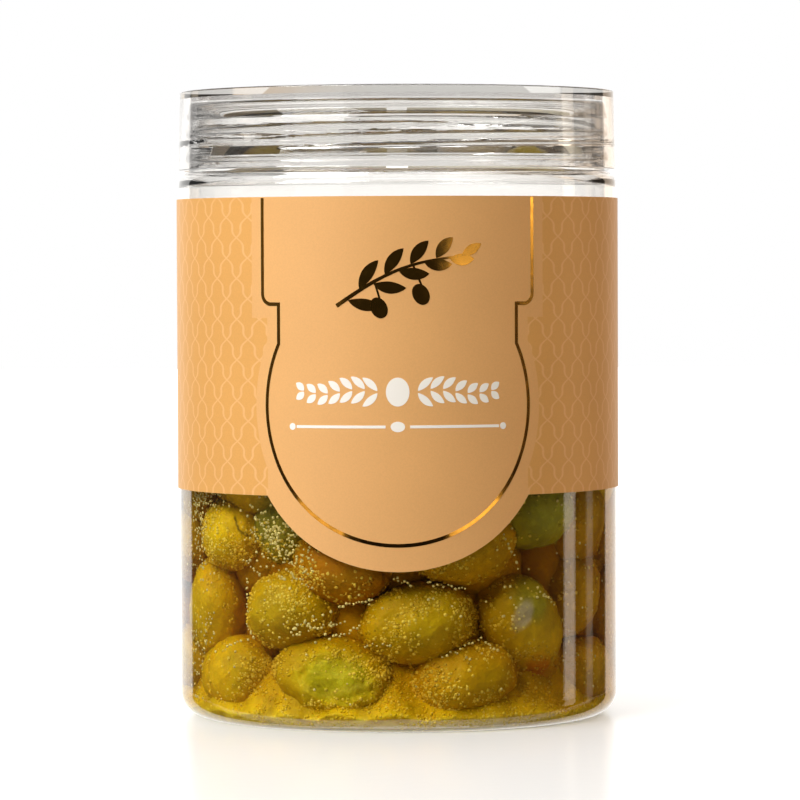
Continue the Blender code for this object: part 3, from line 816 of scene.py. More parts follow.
def label_finish():
    """Satin copper film: deeper gold in the lattice cells, a fine grain, plain cream on the inside."""
    finish, tree = new_finish("label_film")
    place = add(tree, "TexCoord").outputs["Object"]
    x, y, z = add(tree, "SeparateXYZ", {0: place}).outputs
    across = maths(tree, "MULTIPLY", maths(tree, "ARCTAN2", x, maths(tree, "MULTIPLY", y, -1.0)), LABEL_OUTER)
    cells, share = lattice_cells(tree, maths(tree, "ABSOLUTE", across), z)
    grain = noise(tree, place, 0.16 * MM, 2.0)
    cloud = noise(tree, place, 9 * MM, 2.0)
    lattice = maths(tree, "GREATER_THAN", share, 0.5)
    paper = blend_colours(tree, lattice, PAPER_FRONT, PAPER_SIDES)
    copper = blend_colours(tree, cells, paper, LATTICE_INK)
    worn = between(tree, grain, 0.3, 0.7, 0.975, 1.02)
    shade = maths(tree, "MULTIPLY", worn, between(tree, cloud, 0.3, 0.7, 0.985, 1.015))
    tint = add(tree, "HueSaturation", {"Color": copper, "Value": shade}).outputs[0]
    radius_squared = maths(tree, "ADD", maths(tree, "MULTIPLY", x, x), maths(tree, "MULTIPLY", y, y))
    outside = maths(tree, "GREATER_THAN", radius_squared, (LABEL_INNER + 0.05 * MM) ** 2)
    colour = blend_colours(tree, outside, PAPER_INSIDE, tint)
    sockets = {"Base Color": colour, "Roughness": 0.44, "Metallic": 0.12, "Specular IOR Level": 0.7}
    skin = add(tree, "BsdfPrincipled", sockets)
    tree.links.new(relief(tree, cloud, 0.05 * MM, 0.3), skin.inputs["Normal"])
    finished(tree, skin.outputs[0])
    return finish


dress(film, label_finish(), "label", "label")
print("label dressed:", film.data.materials[0].name)

# %% [markdown]
# What shines or stands out on the label is made as thin raised shapes: hot foil and thick white ink really do
# lie on top of the film. Each one is a ribbon that follows a line on the film, as wide as its own rule says. A
# leaf is a ribbon that swells and closes, and a disc is a ribbon whose half width follows a circle.

# %% Ribbons on the film
INK_RISE = 0.035 * MM


def ribbon(path, half_width, across=2):
    """Grid of places (distance along the film, height): path plus its left normal times the half width times a
    number from -1 to 1."""
    path = np.asarray(path, float)
    way = np.gradient(path, axis=0)
    way /= np.linalg.norm(way, axis=1, keepdims=True) + 1e-12
    normal = np.stack([-way[:, 1], way[:, 0]], -1)
    side = np.linspace(1, -1, across)
    half = np.broadcast_to(half_width, len(path))
    return path[:, None] + normal[:, None] * half[:, None, None] * side[None, :, None]


def printed_piece(name, ribbons, finish):
    """One thin closed piece from many ribbons: the outer side stands a little above the film, the inner side
    lies in it."""
    points, faces, start = [], [], 0
    for grid in ribbons:
        top = on_film(grid[..., 0], grid[..., 1], LABEL_OUTER + INK_RISE).reshape(-1, 3)
        low = on_film(grid[..., 0], grid[..., 1], LABEL_OUTER - INK_RISE).reshape(-1, 3)
        points += [top, low]
        faces.append(sheet_faces(*grid.shape[:2]) + start)
        start += 2 * len(top)
    piece = crease(piece_from_faces(name, np.concatenate(points), np.concatenate(faces)))
    dress(piece, finish, "label")
    print("%s: %d shapes" % (name, len(ribbons)))
    return piece


print("ink stands %.3f mm proud" % (INK_RISE / MM))

# %% [markdown]
# Three shapes are enough for every ornament: a leaf, an oval and a round bend. Each is a line with a rule for
# its half width, so it never needs a drawn outline.

# %% Leaves, ovals and bends


def leaf(root, heading, length, width, bend=0.0):
    """A leaf: a line from its root whose heading turns by bend, with a half width that follows a sine."""
    share = np.linspace(0, 1, 15)
    turn = np.radians(heading + bend * share)
    step = length / 14
    path = np.stack([np.cumsum(np.cos(turn)), np.cumsum(np.sin(turn))], -1) * step + np.asarray(root)
    return ribbon(path, width / 2 * np.sin(np.pi * share) ** 0.8 + 0.03 * MM, 5)


def disc(middle, width, height, heading=0.0):
    """An oval: a line along its long axis with the half width of a circle."""
    turn = np.linspace(np.pi, 0, 25)
    way = np.array([math.cos(math.radians(heading)), math.sin(math.radians(heading))])
    path = np.asarray(middle) + np.cos(turn)[:, None] * way * width / 2
    return ribbon(path, height / 2 * np.sin(turn) + 0.02 * MM, 7)


def turned_points(middle, radius, start, end, steps=24):
    """Places on a round bend: middle plus radius times cosine and sine of an angle in degrees."""
    turn = np.radians(np.linspace(start, end, steps + 1))
    return np.stack([middle[0] + radius * np.cos(turn), middle[1] + radius * np.sin(turn)], -1)


print("a leaf is a ribbon of %d places" % leaf((0, 0), 0, 5 * MM, 2 * MM)[..., 0].size)

# %% [markdown]
# The gold on the label is hot foil, a metal film pressed on with a heated stamp. It is a dark mirror, so it
# shows the room more than a colour of its own, and fine scuffs soften that picture.

# %% Gold foil
FOIL_GOLD = (0.84, 0.42, 0.07, 1.0)


def foil_finish():
    """Hot foil: a mirror of dark gold, with tiny scuffs that scatter it a little."""
    finish, tree = new_finish("gold_foil")
    place = add(tree, "TexCoord").outputs["Object"]
    scuffs = noise(tree, place, 0.8 * MM, 3.0)
    sockets = {"Base Color": FOIL_GOLD, "Metallic": 1.0}
    sockets["Roughness"] = between(tree, scuffs, 0.3, 0.8, 0.10, 0.20)
    sockets["Normal"] = relief(tree, scuffs, 0.004 * MM, 0.5)
    skin = add(tree, "BsdfPrincipled", sockets)
    finished(tree, skin.outputs[0])
    return finish


gold_foil = foil_finish()
print("foil finish:", gold_foil.name)

# %% [markdown]
# The foil line starts at the label's top edge, turns in at a rounded corner, steps down and then follows a
# circle round the tab. It is made once for the left half and mirrored.

# %% The foil line
FOIL_HALF = 0.36 * MM
FOIL_CORNER = 2.0 * MM
FOIL_TOP_GAP = 0.2 * MM


def foil_path():
    """Left half, from the top edge to the bottom of the circle, then the right half as its mirror image."""
    corner = FOIL_CORNER
    meet_z = FRAME_CIRCLE_Z + math.sqrt(FRAME_CIRCLE_RADIUS**2 - FRAME_STEP_HALF**2)
    down = np.linspace((-FRAME_HALF, LABEL_TOP_Z - FOIL_TOP_GAP), (-FRAME_HALF, FRAME_STEP_Z + corner), 30)
    bend = turned_points((-FRAME_HALF + corner, FRAME_STEP_Z + corner), corner, 180, 270, 10)[1:]
    step = [(-FRAME_STEP_HALF - 1.0 * MM, FRAME_STEP_Z), (-FRAME_STEP_HALF, FRAME_STEP_Z)]
    fall = np.linspace((-FRAME_STEP_HALF, FRAME_STEP_Z - FOIL_HALF), (-FRAME_STEP_HALF, meet_z), 12)
    begin = math.degrees(math.atan2(meet_z - FRAME_CIRCLE_Z, -FRAME_STEP_HALF))
    bow = turned_points((0, FRAME_CIRCLE_Z), FRAME_CIRCLE_RADIUS, begin, 270, 90)[1:]
    upper = np.concatenate([down, bend, step[:1]])
    lower = np.concatenate([fall, bow])
    mirror = np.array([-1, 1])
    return [upper, np.array([step[0], (step[1][0] + FOIL_HALF, FRAME_STEP_Z)]), upper * mirror,
            np.array([step[0], (step[1][0] + FOIL_HALF, FRAME_STEP_Z)]) * mirror,
            np.concatenate([lower, (lower * mirror)[-2::-1]])]


foil_pieces = bpy.data.collections.new("foil_pieces")
foil_line = printed_piece("foil_line", [ribbon(path, FOIL_HALF) for path in foil_path()], gold_foil)
foil_pieces.objects.link(foil_line)

# %% [markdown]
# A mirror is only as bright as what it faces. Small gold cards stand where the foil looks to, so that stretches
# of the line light up while the rest stays dark. They light the foil alone, through light linking.

# %% Cards that light the foil
CARD_COLOUR = (1.0, 0.86, 0.62)


def foil_lamp(name, azimuth, height_angle, distance, size, glow):
    """A lamp that lights the foil alone, as a small gold card held beside the lens would."""
    lamp = softbox(name, azimuth, height_angle, distance, size, glow, CARD_COLOUR)
    lamp.light_linking.receiver_collection = foil_pieces
    return lamp


foil_lamp("foil_card_right", 38, -2, 0.5, (0.22, 0.10), 1.6)
foil_lamp("foil_card_left", -38, -6, 0.4, (0.16, 0.03), 1.2)
foil_lamp("foil_card_top", 72, 5, 0.8, (0.16, 0.05), 2.2)

# %% [markdown]
# The upper part of the front holds a plain ornament, an olive sprig in foil. Its leaves stand in turn on
# either side of the stem and shrink towards the tip, and two olives hang from short stalks.

# %% The sprig
LEAF_TURN = 46


def sprig():
    """A stem on a shallow arc with leaves on alternate sides and one at its tip, and two olives on short
    stalks. Each leaf's heading is the stem's plus or minus a turn that closes towards the tip."""
    share = np.linspace(0, 1, 40)
    stem = np.stack([(-12 + 24.5 * share) * MM, (83.8 + 9.6 * share + 2.2 * np.sin(np.pi * share)) * MM], -1)
    shapes = [ribbon(stem, (0.42 - 0.22 * share) * MM, 3)]
    for i, place in enumerate(np.linspace(0.10, 0.92, 9)):
        root = stem[int(place * 39)]
        side = 1 if i % 2 else -1
        length = (7.2 - 2.4 * place) * MM
        heading = 24 + side * (LEAF_TURN - 10 * place)
        shapes.append(leaf(root, heading, length, 2.3 * MM, -side * 22))
    shapes.append(leaf(stem[-1], 30, 4.6 * MM, 1.9 * MM))
    for middle, root in (((-3.6, 83.4), 12), ((4.6, 86.0), 24)):
        middle = np.array(middle) * MM
        stalk = np.linspace(stem[root], middle + np.array([0.2, 1.6]) * MM, 6)
        shapes += [ribbon(stalk, 0.2 * MM), disc(middle, 4.3 * MM, 3.2 * MM, -62)]
    return shapes


foil_sprig = printed_piece("foil_sprig", sprig(), gold_foil)
foil_pieces.objects.link(foil_sprig)

# %% [markdown]
# Below the sprig stands a garland over a fine rule in white ink, a generic ornament of the same size and colour
# as the print on such a jar. Thick white ink is matt and a little speckled.

# %% The garland
GARLAND_Z, RULE_Z = 67.0 * MM, 60.2 * MM
WHITE_INK = (0.93, 0.91, 0.88, 1.0)


def garland():
    """Two mirrored rows of leaf pairs that shrink outwards from an oval, over a fine rule with a small oval in
    its middle and a dot at each end."""
    shapes = [disc((0, GARLAND_Z), 4.6 * MM, 5.6 * MM)]
    for side in (-1, 1):
        for i in range(7):
            root = np.array([side * (3.8 + 2.5 * i) * MM, GARLAND_Z + 0.45 * math.sin(i * 1.1) * MM])
            size = (3.9 - 0.28 * i) * MM
            for up in (-1, 1):
                heading = 90 - side * (90 - up * 52)
                shapes.append(leaf(root, heading, size, 1.35 * MM, -side * up * 20))
        rule = np.linspace((side * 2.4 * MM, RULE_Z), (side * 20.5 * MM, RULE_Z), 30)
        shapes.append(ribbon(rule, 0.28 * MM))
        shapes.append(disc((side * 21.4 * MM, RULE_Z), 1.3 * MM, 1.3 * MM))
    shapes.append(disc((0, RULE_Z), 2.8 * MM, 2.0 * MM))
    return shapes


def white_ink_finish():
    """Matt white with a fine speckle in its surface."""
    finish, tree = new_finish("white_ink")
    place = add(tree, "TexCoord").outputs["Object"]
    speckle = noise(tree, place, 0.4 * MM, 2.0)
    skin = add(tree, "BsdfPrincipled", {"Base Color": WHITE_INK, "Roughness": 0.45})
    tree.links.new(relief(tree, speckle, 0.01 * MM), skin.inputs["Normal"])
    finished(tree, skin.outputs[0])
    return finish


printed_piece("white_garland", garland(), white_ink_finish())

# %% [markdown]
# The brine fills the jar up to just under the neck. Its skin reaches a quarter of a millimetre into the wall
# and the floor, so that no film of air shows between them, and its top climbs a little up the wall.

# %% The brine's body
BRINE_LEVEL = 98.0 * MM
BRINE_CLIMB, CLIMB_WIDTH = 0.9 * MM, 1.3 * MM
INTO_WALL = 0.25 * MM


def brine_profile():
    """From the middle of the top, out and up the small climb at the wall, down the wall and in along the floor.
    The climb is its height times e to the power of minus the distance from the wall over its width."""
    inner = FOOT_RADIUS - BODY_WALL
    heel = HEEL_RADIUS - BODY_WALL
    share = np.linspace(0, 1, 12)
    top = [(r, BRINE_LEVEL + BRINE_CLIMB * math.exp(-(inner - r) / CLIMB_WIDTH))
           for r in (inner + INTO_WALL) * share**0.35]
    turn = arc(inner - heel, BASE_THICKNESS + heel, heel + INTO_WALL, 0, -90, 12)
    floor = [(RING_INNER, BASE_THICKNESS - INTO_WALL), (BEND_R, BASE_THICKNESS + BEND_Z - INTO_WALL)]
    wall = [(BODY_RADIUS - BODY_WALL + INTO_WALL, BRINE_LEVEL - 4 * MM)]
    return top + wall + turn + floor + [(0.0, BASE_THICKNESS + PUSH_UP - INTO_WALL)]


dress(turned("brine", brine_profile()), brine, "brine")

# %% [markdown]
# Twenty olives show below the label, and each is placed one by one, because their sizes and tilts make the
# picture. Each has the angle and height of its middle, the tilt of its long axis, its length and width, and how
# far it stands back from the wall. Heights and sizes are in millimetres.

# %% The olives that show
SHOWN_OLIVES = (
    (-83, 11.5, 24, 18.2, 14.6, 0.5), (-55.5, 9.7, 12, 18.8, 15.0, 0), (-20, 10.2, -9, 22.4, 15.6, 0),
    (20, 10.0, 14, 20.2, 15.4, 0), (45, 9.0, 35, 17.6, 14.0, 5.0), (67, 9.6, -8, 18.0, 14.8, 0.4),
    (-67.5, 22.9, 82, 19.0, 15.2, 0), (-34, 23.7, 18, 17.6, 15.8, 0), (6, 21.3, 9, 21.5, 15.4, 0),
    (39.5, 20.5, -55, 20.2, 15.8, 0), (62, 26.2, 68, 17.2, 14.4, 1.2), (87, 22.6, 72, 18.0, 14.6, 0.6),
    (-86, 35.5, 40, 18.4, 14.6, 0.6), (-57, 38.3, 10, 15.6, 14.6, 0), (-36, 41.0, 62, 17.2, 14.2, 3.5),
    (-17, 32.8, -15, 18.2, 15.2, 0), (19, 36.2, 5, 20.6, 15.2, 0), (45, 43.0, 16, 18.4, 15.2, 0.4),
    (65, 40.6, 76, 18.0, 14.6, 0.6), (88, 37.6, 12, 17.4, 14.6, 0.6),
)
print("olives placed by hand:", len(SHOWN_OLIVES))

# %% [markdown]
# An olive in a jar rests against the wall or on the floor, and never in it. So its middle is worked out from
# the wall and from its own size, and lifted where it would sink into the floor.

# %% One olive in its place
OLIVE_WALL_GAP = 0.45 * MM
FLOOR_GAP, FLOOR_LEAN = 0.3 * MM, 2.5 * MM


def inner_floor(radius):
    """Height of the floor inside: level over the standing ring, then rising over the push-up."""
    share = np.clip((RING_INNER - radius) / (RING_INNER - BEND_R), 0, 1)
    return BASE_THICKNESS + BEND_Z * share


def placed_olive(angle, height, tilt, length, width, back, lean=0.0):
    """(middle, long axis, length, width). The long axis lies along the wall, tilted up by tilt and turned
    inwards by lean, and the olive never goes through the floor."""
    turn, slope, lean = np.radians([angle, tilt, lean])
    out = np.array([np.sin(turn), -np.cos(turn), 0.0])
    along = np.array([np.cos(turn) * np.cos(slope), np.sin(turn) * np.cos(slope), np.sin(slope)])
    hinge = np.cross(out, along)
    along = along * np.cos(lean) + np.cross(hinge, along) * np.sin(lean)
    half_height = np.hypot(length / 2 * np.sin(slope), width / 2 * np.cos(slope))
    radius = FOOT_RADIUS - BODY_WALL - OLIVE_WALL_GAP - width / 2 - back
    height = max(height, inner_floor(radius - FLOOR_LEAN) + FLOOR_GAP + half_height)
    return np.concatenate([out * radius + [0, 0, height], along / np.linalg.norm(along), [length, width]])


floor_rise = inner_floor(0) - inner_floor(FOOT_RADIUS)
print("the floor inside rises %.1f mm towards the middle" % (floor_rise / MM))

# %% [markdown]
# The other olives lie where the label or the jar's far side hides them. They stand in staggered rows round a
# core with one layer on top, and seeded random draws nudge and tilt each, as a packer's hand would.

# %% The olives behind
OLIVE_LENGTH, OLIVE_WIDTH = 20.6 * MM, 15.2 * MM
FIRST_ROW_Z, ROW_PITCH = 9.9 * MM, 13.3 * MM
ROWS, PER_ROW, SHOWN_ROWS = 7, 12, 3
BACK_START, BACK_END, BACK_COUNT = 108.0, 252.0, 6
TOP_LAYER_Z, TOP_LAYER_RADIUS, TOP_LAYER_COUNT = 89.0 * MM, 18.5 * MM, 6
LEAST_SPACING = 11.0 * MM
OLIVE_SEED = 11


def hidden_places():
    """Angle and height of each place: all round the jar above the rows that show, and only at its back beside
    them. Every second row is turned by half a step."""
    for row in range(ROWS):
        if row < SHOWN_ROWS:
            angles = np.linspace(BACK_START, BACK_END, BACK_COUNT)
        else:
            angles = 360.0 / PER_ROW * (np.arange(PER_ROW) + 0.5 * (row % 2))
        for angle in angles:
            yield float(angle), FIRST_ROW_Z + ROW_PITCH * row


def olive_layout():
    """(olives that show, olives behind): arrays of middle, long axis, length and width."""
    draw = np.random.default_rng(OLIVE_SEED)
    shown = [placed_olive(a, z * MM, tilt, size * MM, width * MM, back * MM)
             for a, z, tilt, size, width, back in SHOWN_OLIVES]
    hidden = []
    for angle, height in hidden_places():
        angle += draw.uniform(-3.5, 3.5)
        height += draw.uniform(-0.8, 0.8) * MM
        tilt = draw.uniform(-28, 28) + (60 if draw.uniform() < 0.2 else 0)
        length = OLIVE_LENGTH * draw.uniform(0.93, 1.04)
        width = OLIVE_WIDTH * draw.uniform(0.95, 1.03)
        back = draw.uniform(0, 0.9) * MM
        lean = draw.uniform(-6, 6)
        olive = placed_olive(angle, height, tilt, length, width, back, lean)
        if min(np.linalg.norm(olive[:3] - other[:3]) for other in shown) > LEAST_SPACING:
            hidden.append(olive)
    for i in range(TOP_LAYER_COUNT + 1):
        radius = TOP_LAYER_RADIUS if i < TOP_LAYER_COUNT else 0.0
        turn = 2 * np.pi * i / TOP_LAYER_COUNT + draw.uniform(-0.15, 0.15)
        heading = draw.uniform(0, np.pi)
        height = TOP_LAYER_Z + draw.uniform(-1, 1) * MM
        along = np.array([np.cos(heading), np.sin(heading), draw.uniform(-0.25, 0.25)])
        middle = [radius * np.sin(turn), radius * np.cos(turn), height]
        hidden.append(np.concatenate([middle, along / np.linalg.norm(along), [OLIVE_LENGTH, OLIVE_WIDTH]]))
    return np.array(shown), np.array(hidden)


shown_olives, hidden_olives = olive_layout()
print("%d olives show below the label, %d stand behind it" % (len(shown_olives), len(hidden_olives)))

# %% [markdown]
# Nature's forms need noise that is the same each run. A sum of sines in seeded random directions gives that
# for whole arrays of places at once, and its wavelength is a true size in millimetres.

# %% Waves in space


def waves(points, size, seed, count=14):
    """Smooth noise between about -1 and 1: the mean of sines of the place along random directions, all of one
    wavelength, scaled so that its spread stays the same however many there are."""
    draw = np.random.default_rng(seed)
    way = draw.normal(size=(count, 3))
    way *= 2 * np.pi / size / np.linalg.norm(way, axis=1, keepdims=True)
    shift = draw.uniform(0, 2 * np.pi, count)
    return np.sin(points @ way.T + shift).sum(-1) * math.sqrt(1.0 / count)


print("waves at three places:", waves(np.eye(3) * MM, 5 * MM, 1).round(2))

# %% [markdown]
# No two olives are alike. Each is an oval ball whose radius carries slow waves, which give it shoulders and
# flats, and finer waves for the skin. One end has a small point and the other a shallow stem scar.

# %% The shape of an olive
TIP_RISE, TIP_WIDTH = 0.045, 0.16
SCAR_DEPTH, SCAR_WIDTH = 0.05, 0.22
FULLNESS = 1.035
SKIN_WAVES = ((0.036, 15 * MM), (0.026, 6.5 * MM), (0.013, 2.4 * MM), (0.005, 1.1 * MM))
WAVE_SHIFT = 40 * MM


def side_axes(along, spin):
    """Two axes square to the long axis and to each other, turned round it by spin."""
    up = np.where(np.abs(along[:, 2:]) > 0.9, [[1.0, 0, 0]], [[0, 0, 1.0]])
    first = np.cross(up, along)
    first /= np.linalg.norm(first, axis=1, keepdims=True)
    second = np.cross(along, first)
    cos, sin = np.cos(spin)[:, None], np.sin(spin)[:, None]
    return first * cos + second * sin, second * cos - first * sin


def olive_points(olives, rows, columns, seed):
    """Points of every olive at once: (olives, rows * columns + 2 ends, 3). A point lies at the middle plus the
    half length times cos t along the long axis, and the half width times sin t sideways, with t from 0 to pi,
    then moves in or out along its own direction by the waves. A bell curve of t lifts the tip, and another
    sinks the stem scar."""
    draw = np.random.default_rng(seed)
    spin = draw.uniform(0, 2 * np.pi, len(olives))
    egg = draw.uniform(-0.05, 0.05, len(olives))[:, None]
    first, second = side_axes(olives[:, 3:6], spin)
    t = np.concatenate([np.repeat(np.linspace(0, np.pi, rows + 2)[1:-1], columns), [0, np.pi]])[None, :]
    a = np.concatenate([np.tile(np.linspace(0, 2 * np.pi, columns, endpoint=False), rows), [0, 0]])[None, :]
    nib = TIP_RISE * np.exp(-((t / TIP_WIDTH) ** 2)) - SCAR_DEPTH * np.exp(-(((np.pi - t) / SCAR_WIDTH) ** 2))
    lengthwise = (np.cos(t) + egg * np.sin(t) ** 2 + nib) * olives[:, 6:7] / 2
    sideways = np.sin(t) ** 0.94 * olives[:, 7:8] / 2
    offset = (lengthwise[..., None] * olives[:, None, 3:6]
              + (sideways * np.cos(a))[..., None] * first[:, None]
              + (sideways * np.sin(a))[..., None] * second[:, None])
    place = offset + WAVE_SHIFT * np.arange(len(olives))[:, None, None]
    flow = 0
    for i, (height, length) in enumerate(SKIN_WAVES):
        flow = flow + height * waves(place, length, seed + 1 + i)
    return olives[:, None, :3] + offset * (FULLNESS + flow)[..., None]


print("one olive of 8 x 12 points:", olive_points(shown_olives[:1], 8, 12, 5).shape)

# %% [markdown]
# Soft olives flatten where they press on the plastic. That is what makes them look packed rather than drawn,
# and it keeps every point inside the jar.

# %% Flattened against the wall


def inside_jar(points, gap):
    """Points that stick out past the wall are brought back, as an olive flattens against the plastic: each
    radius is cut to the wall's, which follows a quarter circle over the heel."""
    radius = np.hypot(points[..., 0], points[..., 1])
    most = FOOT_RADIUS - BODY_WALL - gap
    heel = HEEL_RADIUS - BODY_WALL
    low = np.clip((BASE_THICKNESS + heel - points[..., 2]) / heel, 0, 1)
    most = most - heel * (1 - np.sqrt(np.maximum(1 - low**2, 0)))
    pull = np.minimum(1, most / np.maximum(radius, 1e-9))
    made = points.copy()
    made[..., :2] *= pull[..., None]
    made[..., 2] = np.maximum(made[..., 2], inner_floor(np.hypot(made[..., 0], made[..., 1])) + 0.15 * MM)
    return made


print("a point 60 mm out comes back to %.1f mm" % (inside_jar(np.array([[60, 0, 40]]) * MM, 0)[0, 0] / MM))

# %% [markdown]
# The picture fixes where an olive is bruised or pale, so such patches are placed by angle and height on the
# wall. Their edges are made uneven by waves, and the shade is stored with each point of the mesh.

# %% Patches of shade


def paint(piece, name, colours):
    """Stores one colour for each point, which the finish reads back by name."""
    layer = piece.data.attributes.new(name, "FLOAT_COLOR", "POINT")
    rgba = np.concatenate([colours, np.ones((len(colours), 1))], axis=1)
    layer.data.foreach_set("color", rgba.astype(np.float32).ravel())


def along_wall(points):
    """Angle round the jar in degrees, 0 at the front, and height in millimetres."""
    return np.degrees(np.arctan2(points[..., 0], -points[..., 1])), points[..., 2] / MM


def patch(points, angle, height, wide, high, tilt=0.0, edge=0.35):
    """1 inside an oval on the wall and 0 outside it, with a smooth edge that waves make uneven. wide and high
    are half sizes in millimetres, and tilt turns the oval."""
    turn, rise = along_wall(points)
    x, z = np.radians(turn - angle) * BODY_RADIUS / MM, rise - height
    cos, sin = math.cos(math.radians(tilt)), math.sin(math.radians(tilt))
    reach = np.hypot((x * cos + z * sin) / wide, (z * cos - x * sin) / high)
    reach = reach + 0.10 * waves(points, 4 * MM, 71) + 0.05 * waves(points, 1.6 * MM, 72)
    share = np.clip((1 + edge - reach) / (2 * edge), 0, 1)
    return share * share * (3 - 2 * share)


print("a patch covers its middle by", patch(np.array([[0, -BODY_RADIUS, 20 * MM]]), 0, 20, 3, 3).round(2))

# %% [markdown]
# One olive low at the front has lost a piece of its skin, and its green flesh shows in a shallow flat. It is
# pressed in over an oval patch: angle, height, half width, half height and tilt.

# %% The cut olive
CUT_PLACE = (-17.0, 10.6, 7.6, 4.5, -9.0)
CUT_DEPTH = 0.9 * MM


def cut_face(points):
    """The cut olive is pressed in by the depth of the cut over an oval, along the way to the jar's axis."""
    deep = CUT_DEPTH * patch(points, *CUT_PLACE, edge=0.10)
    radius = np.hypot(points[..., 0], points[..., 1])
    made = points.copy()
    made[..., :2] *= (1 - deep / np.maximum(radius, 1e-9))[..., None]
    return made


print("cut %.1f mm deep" % (CUT_DEPTH / MM))

# %% [markdown]
# Cured green olives are yellow rather than green, and each has its own shade: bright yellow, ochre, greenish
# or brown. Patches of another shade lie over that: bruises, pale flesh, the cut and its streaks, a dark scar.
# Each patch has angle, height, half width, half height, tilt, colour and strength.

# %% Shades of the olives
YELLOW = (0.53, 0.355, 0.002)
BRIGHT = (0.64, 0.435, 0.002)
OCHRE = (0.555, 0.335, 0.002)
GREENISH = (0.34, 0.32, 0.012)
BROWN = (0.45, 0.215, 0.002)
SHOWN_SHADES = (YELLOW, BRIGHT, YELLOW, OCHRE, OCHRE, OCHRE, BRIGHT, YELLOW, YELLOW, YELLOW, OCHRE, OCHRE,
                YELLOW, BRIGHT, GREENISH, BROWN, OCHRE, GREENISH, OCHRE, OCHRE)
SPOTS = (
    (-52, 39.5, 4.6, 3.6, 10, (0.76, 0.52, 0.002), 0.9), (-66, 25, 4.5, 5.5, 0, (0.74, 0.48, 0.002), 0.8),
    (-57.5, 9.5, 5.0, 5.0, 0, (0.72, 0.44, 0.002), 0.8),
    (-19, 34, 4.2, 3.0, -20, (0.50, 0.19, 0.002), 0.85), (-36, 41, 6.0, 6.5, 0, (0.27, 0.29, 0.06), 0.75),
    (-31, 20.5, 4.2, 3.0, 0, (0.44, 0.27, 0.002), 0.7),
    (-17.0, 10.6, 8.8, 5.5, -9, (0.70, 0.56, 0.010), 0.8),
    (-17.0, 10.6, 7.2, 4.1, -9, (0.50, 0.46, 0.008), 0.95),
    (-14, 8.6, 5.2, 0.6, 14, (0.74, 0.66, 0.05), 0.7), (-20, 11.6, 4.6, 0.45, -4, (0.62, 0.57, 0.03), 0.7),
    (-14, 12.0, 4.0, 0.35, 20, (0.62, 0.57, 0.03), 0.6),
    (-22, 9.0, 3.4, 0.35, 24, (0.30, 0.26, 0.004), 0.7),
    (-48.6, 40.2, 2.2, 0.22, -62, (0.10, 0.07, 0.004), 0.9),
    (-46.6, 38.6, 1.5, 0.2, -38, (0.12, 0.08, 0.004), 0.8),
    (8.5, 20.5, 4.6, 3.2, 8, (0.52, 0.35, 0.002), 0.7), (26, 9.5, 4.4, 3.6, 10, (0.50, 0.33, 0.002), 0.7),
    (38, 26, 4.2, 4.2, 0, (0.30, 0.32, 0.02), 0.7), (34.4, 22.7, 1.7, 3.2, -28, (0.52, 0.46, 0.30), 0.85),
    (45, 43, 6.5, 6.0, 0, (0.36, 0.36, 0.03), 0.75), (42.5, 12, 3.4, 2.6, -40, (0.55, 0.20, 0.002), 0.85),
    (41, 16, 5.0, 3.0, 0, (0.72, 0.48, 0.003), 0.6), (66, 33, 4.0, 7.0, 0, (0.40, 0.20, 0.002), 0.6),
)


def spotted(points, colours):
    """Blends each patch's colour over what lies under it: one minus the share of the old, plus the share of the
    new."""
    for angle, height, wide, high, tilt, colour, strength in SPOTS:
        share = strength * patch(points, angle, height, wide, high, tilt)[:, None]
        colours = colours * (1 - share) + np.array(colour) * share
    return colours


print("%d patches over %d olives" % (len(SPOTS), len(SHOWN_SHADES)))

# %% [markdown]
# The skin of an olive is matt and finely dimpled, with darker clouds and pale flecks, and light goes a few
# millimetres into it. The finish works on the stored shade, so one finish serves every olive.

# %% The olives' finish
LIGHT_DEPTH = 2.5 * MM
DIMPLE_SIZE, DIMPLE_DEPTH = 0.85 * MM, 0.25 * MM


def olive_finish():
    """The stored shade, deeper in soft clouds and paler in flecks, on a matt dimpled skin that lets a little
    light in."""
    finish, tree = new_finish("olive_skin")
    place = add(tree, "TexCoord").outputs["Object"]
    shade = add(tree, "Attribute", attribute_name="skin").outputs["Color"]
    cloud = noise(tree, place, 4.5 * MM, 3.0, 0.6)
    fleck = noise(tree, place, 0.7 * MM, 3.0, 0.6)
    cells = add(tree, "TexVoronoi", {"Vector": place, "Scale": 1 / DIMPLE_SIZE}).outputs["Distance"]
    deeper = add(tree, "HueSaturation", {"Color": shade, "Value": 0.55}).outputs[0]
    paler = add(tree, "HueSaturation", {"Color": shade, "Value": 1.4}).outputs[0]
    clouded = blend_colours(tree, between(tree, cloud, 0.42, 0.68, 0.0, 0.55), shade, deeper)
    colour = blend_colours(tree, between(tree, fleck, 0.50, 0.70, 0.0, 0.35), clouded, paler)
    bumps = maths(tree, "ADD", maths(tree, "MULTIPLY", cells, -0.6), fleck)
    sockets = {"Base Color": colour, "Roughness": 0.5, "Specular IOR Level": 0.12}
    sockets["Normal"] = relief(tree, bumps, DIMPLE_DEPTH, 0.7)
    sockets["Subsurface Weight"] = 0.3
    sockets["Subsurface Radius"] = (1.0, 0.6, 0.1)
    sockets["Subsurface Scale"] = LIGHT_DEPTH
    skin = add(tree, "BsdfPrincipled", sockets)
    finished(tree, skin.outputs[0])
    return finish


olive_skin = olive_finish()
print("olive finish:", olive_skin.name)

# %% [markdown]
# The olives that show get many points, and those behind need fewer. The ones near the top get a painted shade:
# their colour is darkened, standing for the shade that the label casts on them, so they don't shine through the
# neck.

# %% The olives as pieces
BEHIND_CHANCES = (0.45, 0.2, 0.25, 0.1)
# painted shade: height above which the olives behind are darkened, and the share of colour they keep
SHADE_PAINTED_ABOVE_Z, PAINTED_SHADE_SHARE = 74 * MM, 0.25


